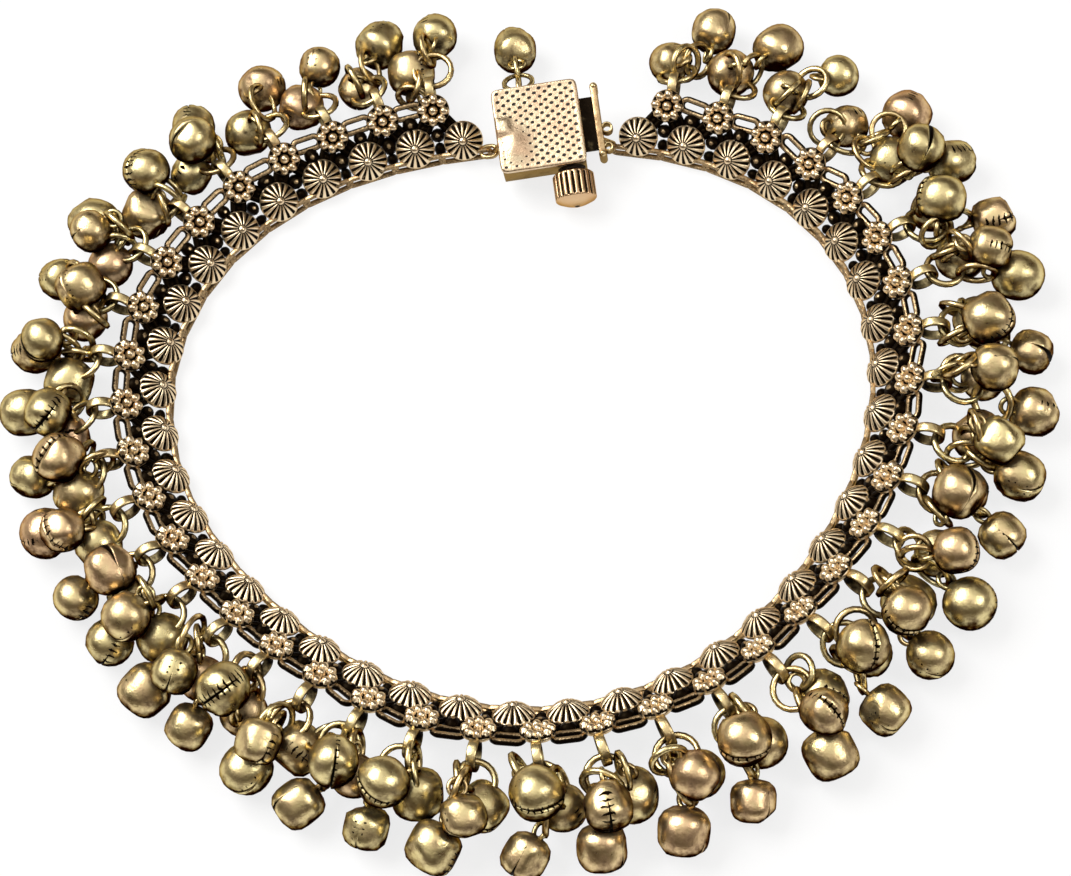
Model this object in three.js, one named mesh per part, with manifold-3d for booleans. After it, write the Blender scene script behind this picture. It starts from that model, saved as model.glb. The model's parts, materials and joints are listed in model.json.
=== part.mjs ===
// Ghungroo anklet: a flexible band of fluted domes and flower studs, closed by a box clasp with a screw pin.
// Clusters of small bells hang all round it. Millimetres, +Z up, the ring lies flat with its clasp at +Y.
import * as THREE from 'three';
import Module from 'manifold-3d';
import { mergeVertices } from 'three/addons/utils/BufferGeometryUtils.js';

const wasm = await Module();
wasm.setup();

const radians = THREE.MathUtils.degToRad;
const fullTurn = 2 * Math.PI;
const weldDistance = 1e-4; // corners closer than this are one corner

// The ring that the line of domes follows, as it lies in the photograph
const ringRadius = 41.63;
const ovalShare = 0.0506;
const ovalTurn = radians(86);
const eggShare = 0.038;
const eggTurn = radians(71.7);
const ringDivisions = 720;

// The band: domes in sections, one flower between each two domes
const sectionCount = 10;
const domesPerSection = 4;
const claspSpan = 22.2; // along the ring, from the last dome over the clasp to the first
const bandTilt = radians(38);
const domeLift = 2.75; // height of the domes' seats above the ground
const rowSpacing = 4.36; // from the line of domes to the line of flowers, across the band

// One fluted dome
const domeRadius = 2.5;
const domeHeight = 1.35;
const domeSeat = 0.35; // of its flat underside, below the band's own plane
const domeSides = 9;
const domeShoulderShares = [0.62, 0.76]; // of its radius and of its height

// One flower stud
const flowerRadius = 2.05;
const flowerHeight = 1.1;
const flowerSeat = 0.35;
const flowerPetals = 8;
const flowerWaistShare = 0.84; // radius between two petals

// Row of upright flat-wire links under the domes, and the cross bars under the flowers
const strapInset = 1.1; // inward from the line of domes
const strapThickness = 0.6;
const strapHeight = 1.9;
const strapSteps = 4;
const barWidth = 1;
const barThickness = 0.8;
const barDepth = 0.6; // of its middle, under the band's own plane
const barStart = 1.75; // from the line of domes, inward
const barShort = 0.6; // of the middle of the flower

// Interlocked loops between two sections
const loopRadius = 0.8;
const loopWire = 0.25;
const loopLift = 1.25;

// Strap ring on each flower
const bailRadius = 1.9;
const bailHole = 1.4;
const bailWidth = 0.95;
const bailReach = 3.05; // from the middle of the flower, outward
const bailDrop = 0.15;

// Jump ring and bells of one cluster
const jumpRadius = 1.8;
const jumpWire = 0.33;
const jumpSlope = radians(14);
const wireClearance = 0.33;
const bellRadius = 2.78;
const bellSpread = 0.22; // how much a bell's radius varies
const stemRadius = 0.5; // of the soldered loop and rings that carry a bell
const stemShift = 0.7; // where it holds on to the ring, from the ring's middle
const nearReach = 4.9; // outward from the wire in the bail, of a cluster's inner bell
const farReach = 9.9;
const upperReach = 6.7; // of the bell that lies on the other two
const upperWander = 1.5; // how much that reach varies
const farWander = 0.25;
const drapeReach = 0.75; // how much further the bells are spread on the ring's right side
const drapeTurn = radians(90); // from the side opposite the clasp
const swayShare = 0.25; // of the way to the next cluster, how far the two lower bells lie to either side
const upperSway = 0.9; // how far sideways the upper bell may lie
const hingeRoom = 0.07; // kept free per millimetre out, where the band flexes
const sparseTurn = radians(50); // clusters this close to the clasp hold two bells
const wireSides = 3;
const ringCorners = 8;
const loopCorners = 6;
const bellSides = 7;
const bellBands = 3;
const copperEvery = 5; // one cluster in so many is of rosy brass
const wanderSteps = [2.399, 1.7]; // of the variation from one cluster and one bell to the next

// Box clasp
const claspTilt = radians(16);
const claspYaw = radians(8.5);
const claspInset = 2.1; // of the plate's middle, inward from the line of domes
const claspShift = 0.9; // of the plate's middle, back from the middle of its span
const claspGap = 0.3;
const caseLength = 10.4;
const caseWidth = 10.2;
const caseDepth = 3.8;
const caseWall = 0.5;
const plateLength = 10.8;
const plateWidth = 11;
const plateThickness = 0.7;
const plateBevel = 0.25;
const lugRadius = 0.42;
const rodSides = 4;
const boreSides = 12;

// Screw pin
const pinRadius = 0.6;
const pinFromEnd = 1.9; // of its axis, from the case's open end
const pinPastCase = 0.5;
const knobRadius = 2.6;
const knobLength = 3.4;
const knobTip = 0.9;
const knobFlutes = 14;
const knobGrooveShare = 0.88;
const washerRadius = 1.7;
const washerThickness = 0.45;
const cutOverrun = 0.5;

// Tongue
const barrelWall = 0.4;
const barrelLength = 7;
const webThickness = 0.7;
const bracketGap = 1.5; // from the plate's open end
const bracketThickness = 1;
const bracketHeight = 2.6;
const bracketWidth = 10;
const tongueDrop = 0.35; // clearance over the band's last loop

// Bell on its two rings at the clasp's outer side
const eyeShift = 1.9; // from the clasp's middle, towards its closed end
const eyeRadius = 0.95;
const eyeWire = 0.3;
const loopSink = 0.25; // how deep the bell's loop is set into it
const claspBellRadius = 2.9;
const claspBellWall = 0.4;
const claspBellSides = 10;
const claspBellBands = 6;
const claspWireSides = 4;
const slitWidth = 0.5;
const pelletRadius = 0.9;
const pelletSides = 8;
const pelletBands = 5;
const pelletClearance = 0.25;

// Derived sizes
const domeCount = sectionCount * domesPerSection;
const flowerCount = domeCount - 1;

// The line of the domes, counter-clockwise from the clasp
class RingLine extends THREE.Curve {
  getPoint(share, target = new THREE.Vector3()) {
    const turn = fullTurn * share;
    const swell = ovalShare * Math.cos(2 * (turn - ovalTurn)) + eggShare * Math.cos(3 * (turn - eggTurn));
    const radius = ringRadius * (1 + swell);
    return target.set(-radius * Math.sin(turn), radius * Math.cos(turn), 0);
  }
}
const ringLine = new RingLine();
ringLine.arcLengthDivisions = ringDivisions;
const ringLength = ringLine.getLength();
const pitch = (ringLength - claspSpan) / flowerCount;

const domePlace = (index) => claspSpan / 2 + index * pitch;
const flowerPlace = (index) => domePlace(index) + pitch / 2;
const hingePlace = (section) => domePlace(section * domesPerSection) - pitch / 2;

// Frame at a distance along the ring: x clockwise, y outward, z up
function frameAt(distance, outward = 0, height = 0) {
  const share = ((distance / ringLength) % 1 + 1) % 1;
  const point = ringLine.getPointAt(share);
  const tangent = ringLine.getTangentAt(share);
  const heading = Math.atan2(-tangent.y, -tangent.x);
  const frame = new THREE.Matrix4().makeRotationZ(heading);
  frame.setPosition(point.x, point.y, 0);
  return frame.multiply(shift(0, outward, height));
}

function shift(x, y, z) {
  return new THREE.Matrix4().makeTranslation(x, y, z);
}

function chain(...matrices) {
  return matrices.reduce((product, matrix) => product.clone().multiply(matrix));
}

const tiltX = (angle) => new THREE.Matrix4().makeRotationX(angle);
const tiltY = (angle) => new THREE.Matrix4().makeRotationY(angle);
const turnZ = (angle) => new THREE.Matrix4().makeRotationZ(angle);

// A closed geometry as a solid, at its place
function solid(geometry, matrix = new THREE.Matrix4()) {
  const shape = geometry.clone().applyMatrix4(matrix);
  shape.deleteAttribute('normal');
  shape.deleteAttribute('uv');
  const merged = mergeVertices(shape, weldDistance);
  const corners = merged.index.array;
  const kept = [];
  for (let i = 0; i < corners.length; i += 3) {
    const [a, b, c] = [corners[i], corners[i + 1], corners[i + 2]];
    if (a !== b && b !== c && c !== a) kept.push(a, b, c);
  }
  return new wasm.Manifold(new wasm.Mesh({
    numProp: 3,
    vertProperties: new Float32Array(merged.attributes.position.array),
    triVerts: new Uint32Array(kept),
  }));
}

function join(solids) {
  return solids.reduce((whole, piece) => whole.add(piece));
}

// A solid as a named mesh, at its place in the ring
function piece(name, body, material, place = new THREE.Matrix4()) {
  const { vertProperties, triVerts } = body.getMesh();
  const geometry = new THREE.BufferGeometry();
  geometry.setAttribute('position', new THREE.BufferAttribute(vertProperties, 3));
  geometry.setIndex(new THREE.BufferAttribute(triVerts, 1));
  geometry.computeVertexNormals();
  const mesh = new THREE.Mesh(geometry, material);
  mesh.name = name;
  place.decompose(mesh.position, mesh.quaternion, mesh.scale);
  return mesh;
}

// Turned shape about z, from [radius, height] pairs that start and end on the axis or close on themselves
function turned(profile, sides) {
  const points = profile.map(([radius, height]) => new THREE.Vector2(radius, height));
  return new THREE.LatheGeometry(points, sides).rotateX(Math.PI / 2);
}

// Flat-sided tube about z, with its flats at the given radii
function strapRing(outer, hole, width, sides) {
  const flat = 1 / Math.cos(Math.PI / sides);
  const [far, near, half] = [outer * flat, hole * flat, width / 2];
  const profile = [[near, -half], [far, -half], [far, half], [near, half], [near, -half]];
  return turned(profile, sides).rotateZ(Math.PI / sides);
}

// Wire ring about z, with flats so that it clears what it passes through
function wireRing(radius, wire, sides = wireSides, corners = ringCorners) {
  const flat = 1 / Math.cos(Math.PI / corners);
  return new THREE.TorusGeometry(radius * flat, wire, sides, corners).rotateZ(Math.PI / corners);
}

// Straight rod between two points
function rod(from, to, radius, sides = rodSides) {
  const way = new THREE.Vector3().subVectors(to, from);
  const shape = new THREE.CylinderGeometry(radius, radius, way.length(), sides);
  const turn = new THREE.Quaternion().setFromUnitVectors(new THREE.Vector3(0, 1, 0), way.clone().normalize());
  const middle = new THREE.Vector3().addVectors(from, to).multiplyScalar(0.5);
  return solid(shape, new THREE.Matrix4().compose(middle, turn, new THREE.Vector3(1, 1, 1)));
}

const origin = (matrix) => new THREE.Vector3().setFromMatrixPosition(matrix);

// Even, repeatable variation between -1 and 1
const wander = (index, salt) => Math.sin(index * wanderSteps[0] + salt * wanderSteps[1]);

// Finishes
const studBrass = new THREE.MeshStandardMaterial({ color: 0xa88f6c, roughness: 0.42, metalness: 1 });
const bellBrass = new THREE.MeshStandardMaterial({ color: 0xb8a468, roughness: 0.38, metalness: 1 });
const copperBrass = new THREE.MeshStandardMaterial({ color: 0xb98f6a, roughness: 0.4, metalness: 1 });
const giltBrass = new THREE.MeshStandardMaterial({ color: 0xd8c0a0, roughness: 0.36, metalness: 1 });
const darkSteel = new THREE.MeshStandardMaterial({ color: 0x4a4038, roughness: 0.5, metalness: 1 });

// Studs, in the band's own tilt: z is square to the band's face
const domeShape = turned([
  [0, -domeSeat],
  [domeRadius, -domeSeat],
  [domeRadius * domeShoulderShares[0], domeHeight * domeShoulderShares[1]],
  [0, domeHeight],
], domeSides);

const flowerShape = () => scalloped(
  turned([[0, -flowerSeat], [flowerRadius, -flowerSeat], [0, flowerHeight]], 2 * flowerPetals),
  flowerPetals,
  flowerWaistShare,
);

const bandFace = (distance) => chain(frameAt(distance, 0, domeLift), tiltX(bandTilt));

// Where the flower's middle, its bail and the wire in the bail lie, outward and up
const flowerOutward = rowSpacing * Math.cos(bandTilt);
const flowerUp = domeLift + rowSpacing * Math.sin(bandTilt);
const bailOutward = flowerOutward + bailReach;
const bailUp = flowerUp - bailDrop;
const wireOutward = bailOutward + bailHole - jumpWire - wireClearance;

function crossBar(distance, start) {
  const end = rowSpacing - barShort;
  const shape = new THREE.BoxGeometry(barWidth, start + end, barThickness);
  return [shape, chain(bandFace(distance), shift(0, (end - start) / 2, -barDepth))];
}

// Row of upright links from one distance along the ring to another
function strap(from, to, home) {
  const side = (outward) => Array.from({ length: strapSteps + 1 }, (_, i) => {
    const place = frameAt(from + (to - from) * i / strapSteps, outward - strapInset);
    return origin(chain(home, place));
  });
  const outline = [...side(strapThickness / 2), ...side(-strapThickness / 2).reverse()];
  const shape = new THREE.Shape(outline.map((point) => new THREE.Vector2(point.x, point.y)));
  return new THREE.ExtrudeGeometry(shape, { depth: strapHeight, bevelEnabled: false });
}

// The loop that lies flat, and the loop of the next section that stands in it
const loopShape = wireRing(loopRadius, loopWire, wireSides, loopCorners).rotateZ(Math.PI / loopCorners);
const flatLoop = (distance) => [loopShape, frameAt(distance, -strapInset, loopLift)];
const uprightLoop = (distance) => [
  loopShape,
  chain(frameAt(distance, -strapInset, loopLift), shift(-loopRadius, 0, 0), tiltX(Math.PI / 2)),
];

function bandSection(section) {
  const place = frameAt(hingePlace(section), -strapInset, 0);
  const home = place.clone().invert();
  const first = section * domesPerSection;
  const last = first + domesPerSection - 1;
  const nextHinge = hingePlace(section + 1);
  const parts = [[strap(hingePlace(section) + 2 * loopRadius, nextHinge - loopRadius, home), place]];
  parts.push(uprightLoop(hingePlace(section)), flatLoop(nextHinge));
  for (let index = first; index <= last; index += 1) {
    parts.push([domeShape, bandFace(domePlace(index))]);
    if (index >= flowerCount) continue;
    const middle = flowerPlace(index);
    parts.push([flowerShape(), chain(bandFace(middle), shift(0, rowSpacing, 0))]);
    parts.push(crossBar(middle, index === last ? loopRadius + loopWire : barStart));
    parts.push([
      strapRing(bailRadius, bailHole, bailWidth, ringCorners),
      chain(frameAt(middle, bailOutward, bailUp), tiltY(Math.PI / 2)),
    ]);
  }
  const body = join(parts.map(([shape, matrix]) => solid(shape, chain(home, matrix))));
  return piece(`band_section_${String(section + 1).padStart(2, '0')}`, body, studBrass, place);
}

// Bells of one cluster: how far sideways, outward and up each lies from the wire in the bail.
// The outer and the inner one lie to either side, so that all of them make a zigzag. The third rests on both.
function bellPlaces(index) {
  const turn = fullTurn * (flowerPlace(index) / ringLength - 0.5);
  const drape = drapeReach * (1 + Math.cos(turn - drapeTurn));
  const step = index % domesPerSection;
  const awayFromHinge = (step === 0 ? -1 : 0) + (step === domesPerSection - 1 ? 1 : 0);
  const radii = [0, 1, 2].map((bell) => bellRadius + bellSpread * wander(index, bell));
  const reaches = [
    farReach + drape + farWander * wander(index, 3),
    nearReach + drape / 2,
    upperReach + drape / 2 + upperWander * wander(index, 4),
  ];
  const spot = (there, reach) => origin(frameAt(flowerPlace(there), wireOutward + reach));
  const lower = [1, -1].map((side, bell) => {
    const reach = reaches[bell];
    const toNext = spot(index, reach).distanceTo(spot(index + 1, reach));
    const aside = side * swayShare * toNext + awayFromHinge * hingeRoom / 2 * (reach + wireOutward);
    return new THREE.Vector3(aside, reach, radii[bell] - bailUp);
  });
  const upper = new THREE.Vector3(upperSway * wander(index, 5), reaches[2], 0);
  const rests = lower.map(({ x, y, z }, bell) => {
    const apart = radii[bell] + radii[2];
    return z + Math.sqrt(Math.max(0, apart ** 2 - (x - upper.x) ** 2 - (y - upper.y) ** 2));
  });
  upper.z = Math.max(...rests);
  const sparse = Math.abs(turn) > Math.PI - sparseTurn;
  const places = [...lower, upper].map((at, bell) => ({ at, radius: radii[bell] }));
  return sparse ? places.slice(0, 2) : places;
}

function bellCluster(index) {
  const place = frameAt(flowerPlace(index), wireOutward, bailUp);
  const slope = tiltX(-jumpSlope);
  const parts = [solid(wireRing(jumpRadius, jumpWire), chain(slope, shift(0, jumpRadius, 0)))];
  bellPlaces(index).forEach(({ radius, at }) => {
    const hold = new THREE.Vector3(Math.sign(at.x) * stemShift, 2 * jumpRadius, 0).applyMatrix4(slope);
    const ball = new THREE.SphereGeometry(radius, bellSides, bellBands).rotateZ(Math.PI / 2);
    parts.push(solid(ball, shift(at.x, at.y, at.z)));
    parts.push(rod(hold, at, stemRadius, wireSides));
  });
  const finish = index % copperEvery === 2 ? copperBrass : bellBrass;
  return piece(`bell_cluster_${String(index + 1).padStart(2, '0')}`, join(parts), finish, place);
}

// Clasp, in the plate's own tilt: x towards its open end, y outward, z square to the plate, from its top
const caseTop = -plateThickness - claspGap;
const caseFloor = caseTop - caseDepth;
const pinUp = (caseTop + caseFloor + caseWall) / 2;
const pinAlong = caseLength / 2 - pinFromEnd;
const boreRadius = pinRadius + claspGap;
const washerStart = caseWidth / 2 + claspGap;
const knobStart = washerStart + washerThickness + claspGap;
const knobEnd = knobStart + knobLength;
const claspLift = knobEnd * Math.sin(claspTilt) + (knobRadius - pinUp) * Math.cos(claspTilt);
const claspMiddle = frameAt(0).multiply(shift(-claspShift, -claspInset, claspLift));
const claspFace = chain(claspMiddle, turnZ(claspYaw), tiltX(claspTilt));
const alongPin = chain(shift(pinAlong, 0, pinUp), tiltX(Math.PI / 2)); // z runs inward along the pin
const bracketAlong = plateLength / 2 + bracketGap + bracketThickness / 2;
const eyeAt = new THREE.Vector3(-eyeShift, caseWidth / 2 + eyeRadius - eyeWire / 2, pinUp);

const inClasp = (matrix) => origin(chain(claspFace.clone().invert(), matrix));

function box(x, y, z, place) {
  return solid(new THREE.BoxGeometry(x, y, z), place);
}

function claspCase() {
  const outside = box(caseLength, caseWidth, caseDepth, shift(0, 0, caseTop - caseDepth / 2));
  const inside = box(
    caseLength, caseWidth - 2 * caseWall, caseDepth, shift(caseWall, 0, caseTop - caseDepth / 2 + caseWall),
  );
  const boreLength = caseWidth + 2 * cutOverrun;
  const bore = solid(
    new THREE.CylinderGeometry(boreRadius, boreRadius, boreLength, boreSides), shift(pinAlong, 0, pinUp),
  );
  const loopAt = frameAt(hingePlace(0), -strapInset, loopLift);
  const loop = solid(wireRing(loopRadius, loopWire), chain(claspFace.clone().invert(), loopAt));
  const target = inClasp(chain(loopAt, shift(loopRadius, 0, 0)));
  const root = new THREE.Vector3(-(caseLength - caseWall) / 2, target.y, caseFloor + caseWall + lugRadius);
  const eyeTurn = chain(shift(eyeAt.x, eyeAt.y, eyeAt.z), tiltY(Math.PI / 2));
  const eye = solid(wireRing(eyeRadius, eyeWire), eyeTurn);
  const body = join([outside.subtract(inside).subtract(bore), loop, rod(root, target, lugRadius), eye]);
  return piece('clasp_case', body, giltBrass, claspFace);
}

function claspPlate() {
  const [x, y] = [plateLength / 2 - plateBevel, plateWidth / 2 - plateBevel];
  const outline = new THREE.Shape([[-x, -y], [x, -y], [x, y], [-x, y]].map((xy) => new THREE.Vector2(...xy)));
  const shape = new THREE.ExtrudeGeometry(outline, {
    depth: plateThickness - 2 * plateBevel,
    bevelSize: plateBevel,
    bevelThickness: plateBevel,
    bevelSegments: 1,
  });
  return piece('clasp_plate', solid(shape, shift(0, 0, plateBevel - plateThickness)), giltBrass, claspFace);
}

// Every second corner drawn in, as between two petals or two flutes
function scalloped(shape, count, waistShare) {
  const position = shape.attributes.position;
  for (let i = 0; i < position.count; i += 1) {
    const step = Math.round(Math.atan2(position.getY(i), position.getX(i)) * count / Math.PI);
    if (step % 2 === 0) continue;
    position.setX(i, position.getX(i) * waistShare);
    position.setY(i, position.getY(i) * waistShare);
  }
  return shape;
}

function screwPin() {
  const [start, end] = [-caseWidth / 2 - pinPastCase, knobStart + cutOverrun];
  const shank = turned([[0, start], [pinRadius, start], [pinRadius, end], [0, end]], ringCorners);
  const knob = turned(
    [[0, knobStart], [knobRadius, knobStart], [knobRadius, knobEnd], [0, knobEnd + knobTip]], 2 * knobFlutes,
  );
  const body = join([solid(shank), solid(scalloped(knob, knobFlutes, knobGrooveShare))]);
  return piece('screw_pin', body, giltBrass, chain(claspFace, alongPin));
}

function pinWasher() {
  const shape = strapRing(washerRadius, boreRadius, washerThickness, boreSides);
  const body = solid(shape, shift(0, 0, washerStart + washerThickness / 2));
  return piece('pin_washer', body, darkSteel, chain(claspFace, alongPin));
}

function claspTongue() {
  const barrel = solid(
    strapRing(boreRadius + barrelWall, boreRadius, barrelLength, boreSides),
    tiltX(Math.PI / 2),
  );
  const start = boreRadius + barrelWall / 2;
  const end = bracketAlong - pinAlong;
  const web = box(end - start, barrelLength, webThickness, shift((start + end) / 2, 0, 0));
  const bracket = box(bracketThickness, bracketWidth, bracketHeight, shift(end, 0, 0));
  const home = chain(claspFace, shift(pinAlong, 0, pinUp));
  const above = loopLift + loopWire + tongueDrop + lugRadius;
  const tip = origin(chain(home.clone().invert(), frameAt(hingePlace(sectionCount), -strapInset, above)));
  const arm = rod(new THREE.Vector3(end, tip.y, 0), tip, lugRadius);
  return piece('clasp_tongue', join([barrel, web, bracket, arm]), giltBrass, home);
}

// Two rings and a bell that hang from the eye and lie down to the ground
const ringStep = 2 * jumpRadius - 2 * jumpWire - claspGap;
const bellFromLoop = 2 * eyeRadius + claspBellRadius - loopSink; // from the wire that holds it
const bellStep = ringStep + bellFromLoop;
const eyePlace = chain(claspFace, shift(eyeAt.x, eyeAt.y, eyeAt.z));
const hangDrop = origin(eyePlace).z - claspBellRadius;
const hangSlope = Math.asin(hangDrop / (ringStep + bellStep));
const hang = chain(eyePlace, tiltX(-claspTilt - hangSlope));
const hangAt = (along) => chain(hang, shift(0, along, 0));

function claspRings() {
  const flat = solid(wireRing(jumpRadius, jumpWire, claspWireSides), shift(0, jumpRadius, 0));
  const upright = solid(
    wireRing(jumpRadius, jumpWire, claspWireSides), chain(shift(0, jumpRadius, 0), tiltY(Math.PI / 2)),
  );
  return [
    piece('clasp_ring_inner', flat, bellBrass, hangAt(0)),
    piece('clasp_ring_outer', upright, bellBrass, hangAt(ringStep)),
  ];
}

function claspBell() {
  const inner = claspBellRadius - claspBellWall;
  const ball = (radius) => new THREE.SphereGeometry(radius, claspBellSides, claspBellBands);
  const centre = shift(0, bellFromLoop, 0);
  const slitLength = claspBellRadius + cutOverrun;
  const slit = box(slitWidth, slitLength, 2 * slitLength, shift(0, bellFromLoop + slitLength / 2, 0));
  const loop = solid(wireRing(eyeRadius, eyeWire, claspWireSides), shift(0, eyeRadius, 0));
  const whole = join([solid(ball(claspBellRadius), centre), loop]);
  const body = whole.subtract(solid(ball(inner), centre)).subtract(slit);
  return piece('clasp_bell', body, bellBrass, hangAt(2 * ringStep));
}

function bellPellet() {
  const bell = origin(hangAt(ringStep + bellStep));
  const drop = claspBellRadius - claspBellWall - pelletRadius - pelletClearance;
  const ball = new THREE.SphereGeometry(pelletRadius, pelletSides, pelletBands);
  return piece('clasp_bell_pellet', solid(ball), darkSteel, shift(bell.x, bell.y, bell.z - drop));
}

const group = new THREE.Group();
group.add(claspCase(), claspPlate(), claspTongue(), screwPin(), pinWasher());
group.add(...claspRings(), claspBell(), bellPellet());
for (let section = 0; section < sectionCount; section += 1) group.add(bandSection(section));
for (let index = 0; index < flowerCount; index += 1) group.add(bellCluster(index));

// The origin is below the middle of the whole
group.updateMatrixWorld(true);
const middle = new THREE.Box3().setFromObject(group, true).getCenter(new THREE.Vector3());
group.position.set(-middle.x, -middle.y, 0);

export default group;
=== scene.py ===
# %% [markdown]
# # A ghungroo anklet
#
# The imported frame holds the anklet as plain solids: ten flexible sections of a band, a cluster of bells on each
# flower stud, and a box clasp with a screw pin. In this lesson every one of them gets its real surface. The solids
# stay where they are and tell us the sizes, and each new surface rides on the body that it dresses.

# %% Load the frame
import json
import bmesh
import bpy
import numpy as np
from mathutils import Matrix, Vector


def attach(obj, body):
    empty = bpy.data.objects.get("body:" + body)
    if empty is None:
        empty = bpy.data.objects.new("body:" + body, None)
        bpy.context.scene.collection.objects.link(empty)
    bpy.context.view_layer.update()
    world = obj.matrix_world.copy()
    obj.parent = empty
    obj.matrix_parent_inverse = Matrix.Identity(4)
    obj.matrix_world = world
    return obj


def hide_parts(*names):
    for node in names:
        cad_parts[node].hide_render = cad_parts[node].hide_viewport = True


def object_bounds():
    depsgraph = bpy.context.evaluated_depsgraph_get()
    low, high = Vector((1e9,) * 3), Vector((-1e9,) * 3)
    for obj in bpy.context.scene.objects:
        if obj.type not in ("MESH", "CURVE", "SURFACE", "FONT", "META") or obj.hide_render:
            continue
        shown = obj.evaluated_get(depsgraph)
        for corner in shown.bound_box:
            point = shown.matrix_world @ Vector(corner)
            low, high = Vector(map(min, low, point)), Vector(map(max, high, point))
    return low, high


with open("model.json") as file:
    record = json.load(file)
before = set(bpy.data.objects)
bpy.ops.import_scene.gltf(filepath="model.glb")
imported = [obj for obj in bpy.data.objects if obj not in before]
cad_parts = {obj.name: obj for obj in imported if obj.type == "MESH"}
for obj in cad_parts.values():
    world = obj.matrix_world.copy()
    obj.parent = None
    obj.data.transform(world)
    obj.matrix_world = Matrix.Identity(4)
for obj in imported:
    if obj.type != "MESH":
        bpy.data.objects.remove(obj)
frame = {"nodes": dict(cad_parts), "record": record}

MM = 0.001
cad_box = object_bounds()
joints = {joint["name"]: joint for joint in frame["record"]["behaviour"]["joints"]}
body_of = {node: body for body, nodes in frame["record"]["behaviour"]["bodies"].items() for node in nodes}
slot_of = {part["node"]: part["material_slot"] for part in frame["record"]["subparts"]}

# %% [markdown]
# ## The line that the domes follow
#
# Jewellery that lies on a table is never a true circle. The domes follow an oval with a slight egg shape, the same
# that the solids were built on. We measure how far the line has run at each of its points, so that studs can be
# spaced by distance and not by angle. The first hinge of the frame tells where the ring's centre lies.

# %% The ring
RING_RADIUS = 41.63
OVAL_SHARE, OVAL_TURN = 0.0506, np.radians(86)
EGG_SHARE, EGG_TURN = 0.038, np.radians(71.7)
SECTIONS, DOMES_PER_SECTION, CLASP_SPAN = 10, 4, 22.2
FLOWERS = SECTIONS * DOMES_PER_SECTION - 1
STRAP_INSET = 1.1

turns = np.linspace(0, 2 * np.pi, 2881)
swell = OVAL_SHARE * np.cos(2 * (turns - OVAL_TURN)) + EGG_SHARE * np.cos(3 * (turns - EGG_TURN))
radii = RING_RADIUS * (1 + swell)
ring_line = np.stack([-radii * np.sin(turns), radii * np.cos(turns), 0 * turns], 1)
travelled = np.concatenate([[0], np.cumsum(np.linalg.norm(np.diff(ring_line, axis=0), axis=1))])
ring_length = travelled[-1]
pitch = (ring_length - CLASP_SPAN) / FLOWERS
print("line of domes %.1f mm long, one dome each %.2f mm" % (ring_length, pitch))


# %% Places along the ring
def ring_point(distance):
    """The point where the line has run this far, counter-clockwise from the middle of the clasp."""
    return np.stack([np.interp(distance % ring_length, travelled, ring_line[:, k]) for k in range(3)], 1)


def ring_frames(distance, outward=0.0, up=0.0):
    """Places along the ring. Each has an origin and three axes, one per row: clockwise, outward and up.
    Clockwise is minus the line's tangent, and outward is up crossed with clockwise."""
    distance = np.atleast_1d(distance).astype(float)
    ahead = ring_point(distance - 0.05) - ring_point(distance + 0.05)
    clockwise = ahead / np.linalg.norm(ahead, axis=1, keepdims=True)
    upward = np.broadcast_to([0.0, 0.0, 1.0], clockwise.shape)
    axes = np.stack([clockwise, np.cross(upward, clockwise), upward], 1)
    return ring_centre + ring_point(distance) + outward * axes[:, 1] + up * axes[:, 2], axes


def dome_places(indices):
    """Distance of the domes along the line: half the clasp's span, then one pitch each."""
    return CLASP_SPAN / 2 + np.asarray(indices) * pitch


def sections():
    """Each section of the band: its number as text, and the indices of its domes and of its flowers."""
    for section in range(SECTIONS):
        domes = np.arange(DOMES_PER_SECTION) + section * DOMES_PER_SECTION
        yield "%02d" % (section + 1), domes, domes[domes < FLOWERS]


ring_centre = np.zeros(3)
first_hinge = np.array(joints["band_hinge_01"]["pos_m"]) / MM
ring_centre = (first_hinge - ring_frames(dome_places(0) - pitch / 2, -STRAP_INSET)[0][0]) * [1, 1, 0]
print("ring centre", ring_centre.round(3))


# %% Turn and place shapes
def tilted(axes, angle):
    """The same axes turned about the first: y' is cos y + sin z, and z' is cos z - sin y."""
    cos, sin = np.cos(angle), np.sin(angle)
    return np.array([[1, 0, 0], [0, cos, sin], [0, -sin, cos]]) @ axes


def placed(points, origins, axes):
    """One copy of the points in each frame: the origin plus x, y and z times the frame's three axes."""
    return np.atleast_2d(origins)[:, None] + points @ axes.reshape(-1, 3, 3)


print("outward, tilted up by 38 degrees", tilted(np.eye(3), np.radians(38))[1].round(2))

# %% [markdown]
# ## The photograph's camera
#
# The photograph was taken from above and in front, with a short telephoto lens and the camera rolled a little. The
# dome studs were matched against the oval line to find this place. A small lens shift puts the ring where it lies in
# the picture.

# %% Camera
CAMERA_TURN, CAMERA_RISE, CAMERA_ROLL = np.radians([17.4, 59.9, 13.38])
CAMERA_DISTANCE = 370
PHOTO_WIDTH = 1071
FOCAL_PIXELS = 3066
RING_LEFT, RING_ABOVE = 12.7, 28.9

towards = np.array([
    np.sin(CAMERA_TURN) * np.cos(CAMERA_RISE), -np.cos(CAMERA_TURN) * np.cos(CAMERA_RISE), np.sin(CAMERA_RISE),
])
level = np.array([np.cos(CAMERA_TURN), np.sin(CAMERA_TURN), 0])
rising = np.cross(towards, level)
right = np.cos(CAMERA_ROLL) * level - np.sin(CAMERA_ROLL) * rising
above = np.sin(CAMERA_ROLL) * level + np.cos(CAMERA_ROLL) * rising

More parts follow.
